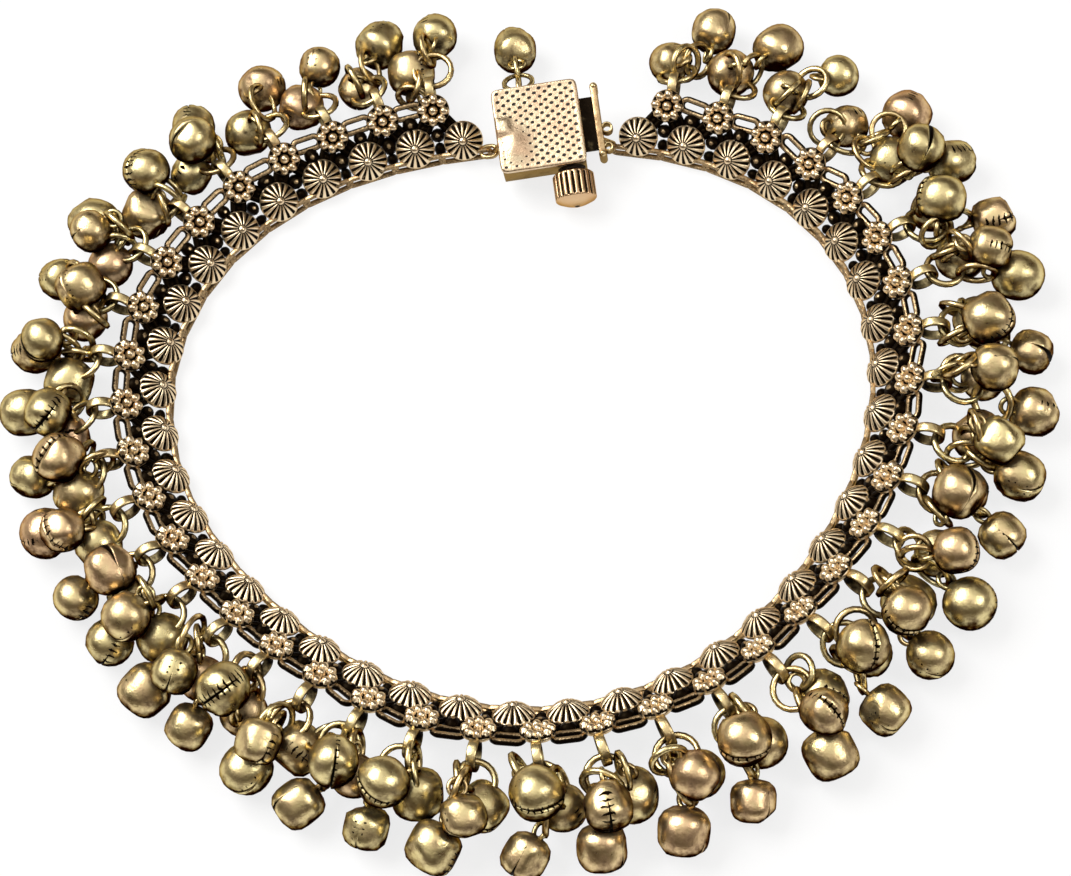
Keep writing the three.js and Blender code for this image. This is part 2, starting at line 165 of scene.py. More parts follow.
camera = bpy.data.objects.new("camera", bpy.data.cameras.new("camera"))
bpy.context.collection.objects.link(camera)
matrix = np.eye(4)
matrix[:3, 0], matrix[:3, 1], matrix[:3, 2] = right, above, towards
matrix[:3, 3] = (ring_centre + CAMERA_DISTANCE * towards) * MM
camera.matrix_world = Matrix(matrix.tolist())
camera.data.sensor_width = 36
camera.data.lens = FOCAL_PIXELS / PHOTO_WIDTH * camera.data.sensor_width
camera.data.shift_x = RING_LEFT / PHOTO_WIDTH
camera.data.shift_y = -RING_ABOVE / PHOTO_WIDTH
camera.data.clip_start = 0.01
bpy.context.scene.camera = camera
bpy.context.scene.view_settings.view_transform = "Standard"
print("lens %.1f mm" % camera.data.lens)


# %% [markdown]
# ## Colours and nodes
#
# Colours are written as they look on a screen and turned into the linear values that the renderer counts with. One
# small function adds a shader node with its settings, its values and its links. A node that is given as an input is
# linked by its first output.

# %% Colour and node helpers
def linear(code):
    """sRGB hex to linear: c / 12.92 below 0.04045, else ((c + 0.055) / 1.055) to the power of 2.4."""
    srgb = np.array([int(code[k:k + 2], 16) for k in (1, 3, 5)]) / 255
    value = np.where(srgb <= 0.04045, srgb / 12.92, ((srgb + 0.055) / 1.055) ** 2.4)
    return (*value.tolist(), 1.0)


def feed(tree, node, inputs):
    """Gives a node its inputs: a node or a socket is linked, and anything else is a value."""
    for key, value in inputs.items():
        if isinstance(value, bpy.types.Node):
            value = value.outputs[0]
        if isinstance(value, bpy.types.NodeSocket):
            tree.links.new(value, node.inputs[key])
        else:
            node.inputs[key].default_value = value
    return node


def add(tree, kind, inputs=None, **settings):
    """Adds one node with its settings and inputs."""
    node = tree.nodes.new(kind)
    for key, value in settings.items():
        setattr(node, key, value)
    return feed(tree, node, inputs or {})


def new_finish(name):
    """An empty material: its node tree and its surface shader."""
    material = bpy.data.materials.new(name)
    material.use_nodes = True
    tree = material.node_tree
    return material, tree, tree.nodes["Principled BSDF"]


print("middle grey, linear: %.3f" % linear("#808080")[0])

# %% [markdown]
# ## Floor and light
#
# The object lies on white paper in soft daylight, at a level where a colour looks as it is written. The paper is a
# plain white sheet. A part of its white is given to the camera and to reflections directly, as in an overexposed
# background, and the rest is lit, so that the shadow under the bells stays. The world is a dim brown room under a
# pale ceiling, which gives brass its dark sides, and soft boxes make the highlights.

# %% Floor
PAPER_SIZE, PAPER_GAP, PAPER_GLOW = 6, 0.02, 0.8  # metres, millimetres, and the part of its white that isn't lit


def paper_floor():
    """A wide white sheet just under the object."""
    bpy.ops.mesh.primitive_plane_add(size=PAPER_SIZE, location=(0, 0, -PAPER_GAP * MM))
    floor = bpy.context.object
    floor.name = "paper_floor"
    material, tree, paper = new_finish("white paper")
    feed(tree, paper, {"Base Color": linear("#FAFAFA"), "Roughness": 0.9})
    rays = add(tree, "ShaderNodeLightPath")
    through = add(tree, "ShaderNodeMath", {0: rays.outputs["Is Glossy Ray"], 1: rays.outputs["Is Transmission Ray"]},
                  operation="MAXIMUM")
    seen = add(tree, "ShaderNodeMath", {0: rays.outputs["Is Camera Ray"], 1: through}, operation="MAXIMUM")
    share = add(tree, "ShaderNodeMath", {0: seen, 1: PAPER_GLOW}, operation="MULTIPLY")
    glow = add(tree, "ShaderNodeEmission", {"Color": linear("#FFFFFF"), "Strength": 1.0})
    both = add(tree, "ShaderNodeMixShader", {0: share, 1: paper, 2: glow})
    feed(tree, tree.nodes["Material Output"], {"Surface": both})
    floor.data.materials.append(material)
    return floor


print("paper", [round(side, 1) for side in paper_floor().dimensions[:2]], "m")


# %% Light
def studio_world():
    """Light by height over the horizon: dim walls, brown and dark higher up, then bright overhead."""
    world = bpy.context.scene.world or bpy.data.worlds.new("studio")
    bpy.context.scene.world = world
    world.use_nodes = True
    tree = world.node_tree
    direction = add(tree, "ShaderNodeTexCoord")
    height = add(tree, "ShaderNodeSeparateXYZ", {0: direction.outputs["Generated"]})
    ramp = add(tree, "ShaderNodeValToRGB", {0: height.outputs["Z"]})
    stops = [(0.0, (0.42, 0.37, 0.30)), (0.14, (0.10, 0.06, 0.03)), (0.34, (0.03, 0.014, 0.005)),
             (0.60, (0.03, 0.014, 0.005)), (0.80, (0.42, 0.38, 0.32)), (1.0, (1.0, 1.0, 1.0))]
    elements = ramp.color_ramp.elements
    while len(elements) < len(stops):
        elements.new(0.5)
    for element, (at, light) in zip(elements, stops):
        element.position = at
        element.color = (*light, 1)
    feed(tree, tree.nodes["Background"], {"Color": ramp, "Strength": 1.0})


def soft_box(name, at, width, height, power):
    """A rectangular lamp that faces the middle of the anklet."""
    lamp = bpy.data.objects.new(name, bpy.data.lights.new(name, "AREA"))
    bpy.context.collection.objects.link(lamp)
    lamp.data.shape = "RECTANGLE"
    lamp.data.size, lamp.data.size_y = width, height
    lamp.data.energy = power
    back = np.array(at) / np.linalg.norm(at)
    side = np.cross([0, 0, 1], back)
    side /= np.linalg.norm(side)
    place = np.eye(4)
    place[:3, 0], place[:3, 1], place[:3, 2], place[:3, 3] = side, np.cross(back, side), back, at
    lamp.matrix_world = Matrix(place.tolist())


studio_world()
soft_box("window", (-0.42, 0.16, 0.62), 0.60, 0.45, 6)
soft_box("reflector", (0.52, -0.10, 0.50), 0.26, 0.26, 1.3)
soft_box("ceiling", (0.0, 0.0, 0.9), 0.7, 0.7, 4)


# %% [markdown]
# ## Surfaces from grids
#
# Each surface is a grid of points that numpy works out at once. A shell has a pole at both ends of the grid, and a
# tube closes on itself both ways. Many equal studs are one small grid, placed many times.

# %% Faces and points of a grid
def shell_faces(rows, columns):
    """Faces of a grid whose first and last row are one point each: quads between, and a fan at each pole."""
    rings = 1 + np.arange((rows - 2) * columns).reshape(rows - 2, columns)
    beside = np.roll(rings, -1, 1)
    quads = np.stack([rings[:-1], beside[:-1], beside[1:], rings[1:]], -1).reshape(-1, 4)
    first, last = np.zeros(columns, int), np.full(columns, (rows - 2) * columns + 1)
    fans = [np.stack([first, beside[0], rings[0]], 1), np.stack([rings[-1], beside[-1], last], 1)]
    return quads, np.concatenate(fans)


def shell_points(grid):
    """The grid's points as one list, with each pole kept once."""
    inner = grid[..., 1:-1, :, :].reshape(*grid.shape[:-3], -1, grid.shape[-1])
    return np.concatenate([grid[..., 0, :1, :], inner, grid[..., -1, :1, :]], -2)


def tube_faces(rows, columns):
    """Quads of a grid that closes on itself both ways."""
    n = np.arange(rows * columns).reshape(rows, columns)
    ahead = np.roll(n, -1, 0)
    return [np.stack([n, np.roll(n, -1, 1), np.roll(ahead, -1, 1), ahead], -1).reshape(-1, 4)]


print("a tube of 20 by 6 points has", len(tube_faces(20, 6)[0]), "faces")


# %% Wires, rods and blocks
def circle(radius, count):
    """Points radius (cos a, sin a), starting half a step in."""
    a = (np.arange(count) + 0.5) * 2 * np.pi / count
    return radius * np.stack([np.cos(a), np.sin(a)], 1)


def oval(length, width, count):
    """A circle whose two halves are pulled apart along x to the given length."""
    points = circle(width / 2, count)
    points[:, 0] += np.sign(points[:, 0]) * (length - width) / 2
    return points


def flat_section(thickness, width, count=12):
    """A rounded rectangle: half the size times cos and sin, each to the power of 0.45 with its sign kept."""
    turn = circle(1, count)
    return np.sign(turn) * np.abs(turn) ** 0.45 * [thickness / 2, width / 2]


def bent_ring(path, section):
    """A closed wire: the section's first number runs along the flat path's own normal, its second along z."""
    ahead = np.roll(path, -1, 0) - np.roll(path, 1, 0)
    normal = np.stack([ahead[:, 1], -ahead[:, 0]], 1) / np.linalg.norm(ahead, axis=1, keepdims=True)
    flat = path[:, None] + normal[:, None] * section[None, :, :1]
    rise = np.broadcast_to(section[None, :, 1:], (*flat.shape[:2], 1))
    return np.concatenate([flat, rise], -1).reshape(-1, 3), tube_faces(len(path), len(section))


def straight_rod(start, end, radius, columns=12):
    """A rod with round ends: a sphere cut at its equator and pulled apart along its axis."""
    start, end = np.asarray(start, float), np.asarray(end, float)
    along = (end - start) / np.linalg.norm(end - start)
    side = np.cross(along, [0.3, 0.5, 0.81])
    side /= np.linalg.norm(side)
    polar = np.radians([0, 30, 60, 90, 90, 120, 150, 180])
    centre = np.where(np.arange(8)[:, None] < 4, end, start)
    a = np.arange(columns) * 2 * np.pi / columns
    ring = np.cos(a)[:, None] * side + np.sin(a)[:, None] * np.cross(along, side)
    grid = centre[:, None] + radius * (np.sin(polar)[:, None, None] * ring + np.cos(polar)[:, None, None] * along)
    return shell_points(grid), shell_faces(8, columns)


def ball(radius, rows=7, columns=12):
    """Rings of a sphere: r sin p (cos a, sin a), r cos p."""
    p = np.linspace(0, np.pi, rows)[:, None]
    a = np.arange(columns) * 2 * np.pi / columns
    grid = radius * np.stack([np.sin(p) * np.cos(a), np.sin(p) * np.sin(a), np.cos(p) + 0 * a], -1)
    return shell_points(grid), shell_faces(rows, columns)


def block(low, high):
    """The eight corners and six sides of a block, for a bevel to round."""
    corner = np.array([[x, y, z] for x in (0, 1) for y in (0, 1) for z in (0, 1)])
    sides = np.array([[0, 1, 3, 2], [4, 6, 7, 5], [0, 4, 5, 1], [2, 3, 7, 6], [0, 2, 6, 4], [1, 5, 7, 3]])
    return np.asarray(low) + corner * (np.asarray(high) - np.asarray(low)), [sides]


print("a straight rod has", len(straight_rod([0, 0, 0], [0, 0, 1], 0.5)[0]), "points")


# %% Make one piece
def even_marks(points, **values):
    """Marks that are the same on every point."""
    return {key: np.full((1, len(points), 1), value) for key, value in values.items()}


def add_piece(name, parts, node, finish, bevel=0.0):
    """One mesh from several surfaces, which dresses one node. Each part is points (copies, n, 3) in mm, its faces and
    its marks. The painted underside shade is (1 - n_z) / 2 to the power of 1.5, so it lies where the surface's
    normal n looks down."""
    body, slot = body_of[node], slot_of[node]
    points, faces, start = [], [], 0
    names = sorted({key for part in parts for key in part[2]})
    marks = {key: [] for key in names}
    for surface, kinds, values in parts:
        copies, count = surface.shape[:2]
        first = start + count * np.arange(copies)
        for kind in kinds:
            faces += (kind[None] + first[:, None, None]).reshape(-1, kind.shape[1]).tolist()
        points.append(surface.reshape(-1, 3))
        for key in names:
            width = 3 if key == "mark_place" else 1
            value = values.get(key, np.zeros((copies, count, width)))
            value = np.broadcast_to(np.asarray(value, float).reshape(-1, count, width), (copies, count, width))
            marks[key].append(value.reshape(-1, width))
        start += copies * count
    mesh = bpy.data.meshes.new(name)
    mesh.from_pydata(np.concatenate(points) * MM, [], faces)
    outward = bmesh.new()
    outward.from_mesh(mesh)
    bmesh.ops.recalc_face_normals(outward, faces=outward.faces)
    outward.to_mesh(mesh)
    outward.free()
    normals = np.empty(3 * len(mesh.vertices))
    mesh.vertex_normals.foreach_get("vector", normals)
    # painted shade: darker where the surface's normal looks down
    marks["underside_shade"] = [((1 - normals[2::3]) / 2) ** 1.5]
    for key, values in marks.items():
        kind, field = ("FLOAT_VECTOR", "vector") if key == "mark_place" else ("FLOAT", "value")
        mesh.attributes.new(key, kind, "POINT").data.foreach_set(field, np.concatenate(values).ravel())
    mesh.shade_smooth()
    mesh.materials.append(finish)
    piece = bpy.data.objects.new(name, mesh)
    bpy.context.collection.objects.link(piece)
    if bevel:
        rounding = piece.modifiers.new("rounding", "BEVEL")
        rounding.width, rounding.segments = bevel * MM, 3
    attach(piece, body)
    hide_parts(node)


print("nodes by slot", {slot: list(slot_of.values()).count(slot) for slot in sorted(set(slot_of.values()))})


# %% [markdown]
# ## Finish of the studs: cast brass, oxidised and rubbed
#
# The studs are cast, dipped in an oxidising bath that turns them near black, and then rubbed, so that only what
# stands proud is bright. Each stud's mesh carries a number, hollow, that is 0 on its tops and 1 in its recesses. A
# ramp turns it into patina with a ragged edge. Brass that has lost its zinc at the surface is a little pink.

# %% Oxidised brass
EDGE_SOFTNESS = 0.3


def oxidised_brass(name, bright, warm, patina, bite):
    """Metal from the recesses' number: patina above the bite, bright metal below, with grain in the edge."""
    material, tree, shader = new_finish(name)
    place = add(tree, "ShaderNodeTexCoord").outputs["Object"]
    hollow = add(tree, "ShaderNodeAttribute", attribute_name="hollow").outputs["Fac"]
    # casting grain of about 0.25 mm
    grain = add(tree, "ShaderNodeTexNoise", {"Vector": place, "Scale": 1 / (0.25 * MM), "Detail": 4.0})
    # patches where the brass goes warmer and darker, about 2.5 mm across
    patches = add(tree, "ShaderNodeTexNoise", {"Vector": place, "Scale": 1 / (2.5 * MM), "Detail": 3.0})
    rough_edge = add(tree, "ShaderNodeMath", {0: grain, 1: 0.45, 2: hollow}, operation="MULTIPLY_ADD")
    dark = add(tree, "ShaderNodeMapRange", {
        "Value": rough_edge, "From Min": bite, "From Max": bite + EDGE_SOFTNESS, "To Min": 0.0, "To Max": 1.0,
    }, interpolation_type="SMOOTHSTEP")
    metal = add(tree, "ShaderNodeMix", {"Factor": patches, "A": linear(bright), "B": linear(warm)}, data_type="RGBA")
    colour = add(tree, "ShaderNodeMix", {
        "Factor": dark, "A": metal.outputs["Result"], "B": linear(patina),
    }, data_type="RGBA")
    metallic = add(tree, "ShaderNodeMapRange", {"Value": dark, "To Min": 1.0, "To Max": 0.0})
    roughness = add(tree, "ShaderNodeMapRange", {"Value": dark, "To Min": 0.30, "To Max": 0.42})
    bump = add(tree, "ShaderNodeBump", {"Height": grain, "Strength": 0.35, "Distance": 0.06 * MM})
    # the patina throws back less light than a clear lacquer would, and brass stays yellow towards its edges
    feed(tree, shader, {
        "Specular IOR Level": 0.12, "Specular Tint": linear("#C0A070"), "Base Color": colour.outputs["Result"],
        "Metallic": metallic, "Roughness": roughness, "Normal": bump,
    })
    return material


stud_finish = oxidised_brass("oxidised cast brass", "#F7E8C6", "#E4C49C", "#060201", 0.62)
link_finish = oxidised_brass("oxidised drawn brass", "#E2C89C", "#A8845A", "#060201", 0.42)
print("finishes", stud_finish.name, "and", link_finish.name)


# %% [markdown]
# ## Fluted domes
#
# Forty cast domes, each with a small boss from which ribs run down to the rim, stand in the lower row. The grooves
# between the ribs are narrow wedges that grow wider outwards, and hold the patina. Below the rim the stud draws in
# like a bowl. One dome is a grid of rings from the boss to the foot.

# %% Domes
DOME_LIFT, BAND_TILT, ROW_SPACING = 2.75, np.radians(38), 4.36
DOME_RIBS, GROOVE_POWER, GROOVE_NARROWING = 16, 2.2, 0.25
DOME_LEAN = 0.05  # how askew each section's domes are, in radians


def fluted_dome():
    """Rings of radius and height, lower in a groove by its depth times ((1 + cos of ribs times a) / 2)^2.2, and
    narrower by a quarter of that."""
    profile = np.array([  # radius, height, depth of the grooves, patina between them
        [0.00, 1.50, 0.00, 0.0], [0.26, 1.45, 0.00, 0.0], [0.42, 1.28, 0.00, 0.5], [0.54, 1.20, 0.06, 0.7],
        [0.72, 1.17, 0.19, 0.2], [1.10, 1.03, 0.30, 0.1], [1.55, 0.77, 0.37, 0.1], [1.98, 0.44, 0.38, 0.1],
        [2.30, 0.12, 0.28, 0.1], [2.47, -0.10, 0.05, 0.1], [2.50, -0.26, 0.00, 0.1], [2.42, -0.46, 0.00, 0.2],
        [2.20, -0.66, 0.00, 0.5], [1.90, -0.80, 0.00, 1.0], [1.30, -0.88, 0.00, 1.0], [0.00, -0.88, 0.00, 1.0],
    ])
    columns = 6 * DOME_RIBS
    a = np.arange(columns) * 2 * np.pi / columns
    groove = ((1 + np.cos(DOME_RIBS * a)) / 2) ** GROOVE_POWER
    radius = profile[:, :1] - GROOVE_NARROWING * profile[:, 2:3] * groove
    height = profile[:, 1:2] - profile[:, 2:3] * groove
    grid = np.stack([radius * np.cos(a), radius * np.sin(a), height + 0 * a], -1)
    hollow = np.maximum(profile[:, 3:], np.clip(profile[:, 2:3] / 0.15, 0, 1) * np.clip(groove * 1.9, 0, 1))
    return shell_points(grid), shell_faces(len(profile), columns), {"hollow": shell_points(hollow[..., None])}


def band_face(distance, across=0.0, square=0.0, outward=0.0, up=0.0):
    """Frames on the band's face: tilted up towards the outside, so that the domes look inward."""
    origins, axes = ring_frames(distance, outward, DOME_LIFT + up)
    face = tilted(axes, BAND_TILT)
    return origins + across * face[:, 1] + square * face[:, 2], face


def spun(axes, angles):
    """The axes turned about their third one, each by its own angle."""
    cos, sin = np.cos(angles)[:, None], np.sin(angles)[:, None]
    return np.stack([cos * axes[:, 0] + sin * axes[:, 1], cos * axes[:, 1] - sin * axes[:, 0], axes[:, 2]], 1)


rng = np.random.default_rng(7)
dome_points, dome_faces, dome_marks = fluted_dome()
for number, domes, _ in sections():
    origins, axes = band_face(dome_places(domes))
    axes = spun(tilted(axes, rng.normal(0, DOME_LEAN)), rng.uniform(0, 1, len(domes)))
    add_piece("fluted_domes_" + number, [(placed(dome_points, origins, axes), dome_faces, dome_marks)],
              "band_section_" + number, stud_finish)
print("dome", len(dome_points), "points")


# %% [markdown]
# ## Flower studs
#
# Between and above the domes sit the flowers: a ball in the middle and eight granules round it, on a small bowl. The
# ball is half a sphere and a granule half an ellipsoid, and the stud's height at each point is the highest of them
# there. Where the height stays near the bowl, the stud is hollow and keeps its patina.

# %% Flowers
GRANULES, FLOWER_RADIUS, BOWL_UP = 8, 2.0, 0.02
BALL_RADIUS, BALL_UP = 0.56, 0.42
GRANULE_AT, GRANULE_HALF_LENGTH, GRANULE_HALF_WIDTH = 1.42, 0.60, 0.56
GRANULE_UP, GRANULE_HEIGHT = 0.32, 0.54
RIM_WAVE, PATINA_DEPTH, FLOWER_LEAN = 0.035, 0.2, 0.06


def flower_stud():
    """Height from radius and angle: the highest of bowl, middle ball c + sqrt(R^2 - r^2), and eight granules, which
    are half ellipsoids c + h sqrt(1 - (x / a)^2 - (y / b)^2) about their own middles. The rim follows the granules."""
    radii = np.array([0, 0.22, 0.4, 0.5, 0.56, 0.6, 0.82, 0.9, 1.04, 1.2, 1.4, 1.6, 1.76, 1.88, FLOWER_RADIUS])
    columns = 8 * GRANULES
    a = np.arange(columns) * 2 * np.pi / columns
    r = radii[:, None]
    bowl = BOWL_UP + 0 * r * a
    ball = BALL_UP + np.sqrt(np.clip(BALL_RADIUS ** 2 - r ** 2 + 0 * a, 0, None))
    fold = (a + np.pi / GRANULES) % (2 * np.pi / GRANULES) - np.pi / GRANULES
    away = ((r * np.cos(fold) - GRANULE_AT) / GRANULE_HALF_LENGTH) ** 2 + (r * np.sin(fold) / GRANULE_HALF_WIDTH) ** 2
    granule = GRANULE_UP + GRANULE_HEIGHT * np.sqrt(np.clip(1 - away, 0, None))
    height = np.maximum(np.where(r < BALL_RADIUS + 0.01, ball, bowl), np.where(away < 1, granule, bowl))
    hollow = 1 - np.clip((height - bowl - PATINA_DEPTH) / PATINA_DEPTH, 0, 1)
    lip = 1 + RIM_WAVE * np.cos(GRANULES * a) * (r > 1.5)
    top = np.stack([r * lip * np.cos(a), r * lip * np.sin(a), height], -1)
    foot = np.array([[2.06, -0.12, 0.1], [1.98, -0.38, 0.15], [1.60, -0.68, 0.5], [0.0, -0.68, 1.0]])
    under = np.stack([foot[:, :1] * np.cos(a), foot[:, :1] * np.sin(a), foot[:, 1:2] + 0 * a], -1)
    grid = np.concatenate([top, under])
    hollow = np.concatenate([hollow, foot[:, 2:3] + 0 * a])
    return shell_points(grid), shell_faces(len(grid), columns), {"hollow": shell_points(hollow[..., None])}


flower_points, flower_faces, flower_marks = flower_stud()
for number, _, flowers in sections():
    origins, axes = band_face(dome_places(flowers) + pitch / 2, ROW_SPACING)
    axes = spun(tilted(axes, rng.normal(0, FLOWER_LEAN)), rng.uniform(0, 1, len(flowers)))
    add_piece("flower_studs_" + number, [(placed(flower_points, origins, axes), flower_faces, flower_marks)],
              "band_section_" + number, stud_finish)
print("flower", len(flower_points), "points")


# %% [markdown]
# ## The wire links that hold the studs
#
# Under the studs the band is a net of wire links. Upright links of flat wire stand below the domes and are the
# band's feet, pale where they have been rubbed by the ankle. Oval links of round wire run from each flower to the
# two domes beside it, and short ones lie between the flowers along the outer edge. Lumps of solder sit where links
# meet, no two alike. Deep between the studs all of it stays black.

# %% Links
def wire_copies(link, section, origins, axes, shade, bright):
    """Copies of a link, with patina by the side of its wire: shade less bright times ((1 + up) / 2)^2, so that only
    its top is rubbed."""
    points, faces = link
    up = section[:, 1] / np.abs(section[:, 1]).max()
    across = np.clip(shade - bright * np.clip(0.5 + 0.5 * up, 0, 1) ** 2, 0, 1)
    hollow = np.tile(across, len(points) // len(section))
    return placed(points, origins, axes), faces, {"hollow": hollow[None, :, None]}


def leaning(axes, along, aside):
    """Axes whose first lies along the given mix of the first two, with the third kept."""
    first = along * axes[:, 0] + aside * axes[:, 1]
    first /= np.linalg.norm(first, axis=1, keepdims=True)
    return np.stack([first, np.cross(axes[:, 2], first), axes[:, 2]], 1)


# %% Shapes of the links and lumps
LINK_WIRE, LINK_LEAN = 0.4, 0.16
FOOT_THICKNESS, FOOT_WIDTH, FOOT_HEIGHT, FOOT_UP = 0.5, 0.62, 1.9, 0.95
KNOT_RADIUS, BEAD_RADIUS, LUMP_STRETCH = 1.12, 0.86, (0.72, 1.08)

foot_section = flat_section(FOOT_THICKNESS, FOOT_WIDTH)
foot_link = bent_ring(oval(pitch + 0.35, FOOT_HEIGHT - FOOT_THICKNESS, 24), foot_section)
wire_section = circle(LINK_WIRE, 8)
cross_link = bent_ring(oval(5.0, 1.3, 20), wire_section)
outer_link = bent_ring(oval(3.5, 1.5, 24), wire_section)
knot_points, knot_faces = ball(KNOT_RADIUS, 10)
bead_points, bead_faces = ball(BEAD_RADIUS)
# a knot of solder is rubbed at the very top only, and the smaller beads nowhere
knot_top = np.clip(knot_points[:, 2] / KNOT_RADIUS, 0, 1) ** 14
knot_marks = {"hollow": np.clip(0.80 - 0.7 * knot_top, 0, 1)[None, :, None]}
bead_marks = even_marks(bead_points, hollow=0.8)


def lumpy(axes):
    """The axes of solder lumps, each stretched or squeezed a little in its own way."""
    return axes * rng.uniform(*LUMP_STRETCH, (len(axes), 3, 1))


print("points of a link", len(foot_link[0]), len(cross_link[0]), len(outer_link[0]))

# %% Links of every section
for number, domes, flowers in sections():
    origins, axes = ring_frames(dome_places(domes), -STRAP_INSET, FOOT_UP)
    parts = [wire_copies(foot_link, foot_section, origins, axes[:, [0, 2, 1]], 0.34, 0.4)]
    for side, studs in ((1, flowers), (-1, domes[domes > 0] - 1)):
        # from a flower to the dome at its one side, and to the dome at its other
        origins, axes = band_face(dome_places(studs) + pitch / 2, ROW_SPACING / 2, -0.62)
        origins = origins + side * pitch / 4 * axes[:, 0]
        sloping = leaning(axes, side * pitch / 4, -ROW_SPACING / 2)
        parts.append(wire_copies(cross_link, wire_section, origins, sloping, 0.85, 0.3))
        parts.append((placed(bead_points, origins - 0.5 * axes[:, 2], lumpy(axes)), bead_faces, bead_marks))
    between = flowers[flowers > 0]
    origins, axes = band_face(dome_places(between), ROW_SPACING + 0.35, -0.72)
    askew = spun(axes, rng.normal(0, LINK_LEAN, len(axes)))
    parts.append(wire_copies(outer_link, wire_section, origins, askew, 0.95, 0.66))
    for distance, across, square, points, faces, marks in (
            (dome_places(between), ROW_SPACING - 1.35, -0.75, knot_points, knot_faces, knot_marks),
            (dome_places(flowers) + pitch / 2, 1.1, -1.0, knot_points, knot_faces, knot_marks),
            (dome_places(flowers) + pitch / 2, -0.7, -1.15, bead_points, bead_faces, bead_marks)):
        origins, axes = band_face(distance, across, square)
        parts.append((placed(points, origins, lumpy(axes)), faces, marks))
    add_piece("wire_links_" + number, parts, "band_section_" + number, link_finish)
print("links of section 1", [len(part[0]) for part in parts])


# %% [markdown]
# ## Finish of the wire and the bells: worn brass
#
# The rings are drawn brass wire, and the bells are stamped and soldered from thin brass sheet. Handled brass is
# satin, never a mirror. It goes olive where it tarnishes and rosy where the zinc has worn out of it, so each bell
# carries a tone of its own, and patches a millimetre or two across vary it further. What looks down is painted
# brown, as shade. The slit of a bell is painted black, as the shade inside it, and the ticks or dots that were
# punched beside it are black too.

# %% Punched marks
def punched_marks(tree, stains):
    """Black, as 1, in the slit, which is painted shade for the dark inside of the bell, and in the marks beside it:
    where the distance along the slit to the nearest tick's middle is below a width, which tapers with the tick's
    reach. The stains make them uneven. None is on the top."""
    spot = add(tree, "ShaderNodeAttribute", attribute_name="mark_place").outputs["Vector"]
    parts = add(tree, "ShaderNodeSeparateXYZ", {0: spot})
    aside = add(tree, "ShaderNodeMath", {0: parts.outputs["Y"]}, operation="ABSOLUTE")
    # painted shade: the slit is black, as the inside of the bell seen through it
    slit = add(tree, "ShaderNodeMapRange", {
        "Value": aside, "From Min": 0.09, "From Max": 0.14, "To Min": 1.0, "To Max": 0.0,
    })
    uneven = add(tree, "ShaderNodeMath", {0: stains, 1: 1.6, 2: parts.outputs["X"]}, operation="MULTIPLY_ADD")
    beat = add(tree, "ShaderNodeMath", {0: uneven, 1: 0.5}, operation="PINGPONG")
    reach = add(tree, "ShaderNodeAttribute", attribute_name="tick_share").outputs["Fac"]
    width = add(tree, "ShaderNodeMapRange", {"Value": reach, "To Min": 0.21, "To Max": 0.07})
    tick = add(tree, "ShaderNodeMath", {0: beat, 1: width}, operation="LESS_THAN")
    short = add(tree, "ShaderNodeMapRange", {
        "Value": reach, "From Min": 0.85, "From Max": 1.0, "To Min": 1.0, "To Max": 0.0,
    })
    ticks = add(tree, "ShaderNodeMath", {0: tick, 1: short}, operation="MULTIPLY")
    both = add(tree, "ShaderNodeMath", {0: ticks, 1: slit}, operation="MAXIMUM")
    below = add(tree, "ShaderNodeMapRange", {
        "Value": parts.outputs["Z"], "From Min": 0.42, "From Max": 0.48, "To Min": 1.0, "To Max": 0.0,
    })
    return add(tree, "ShaderNodeMath", {0: both, 1: below}, operation="MULTIPLY")


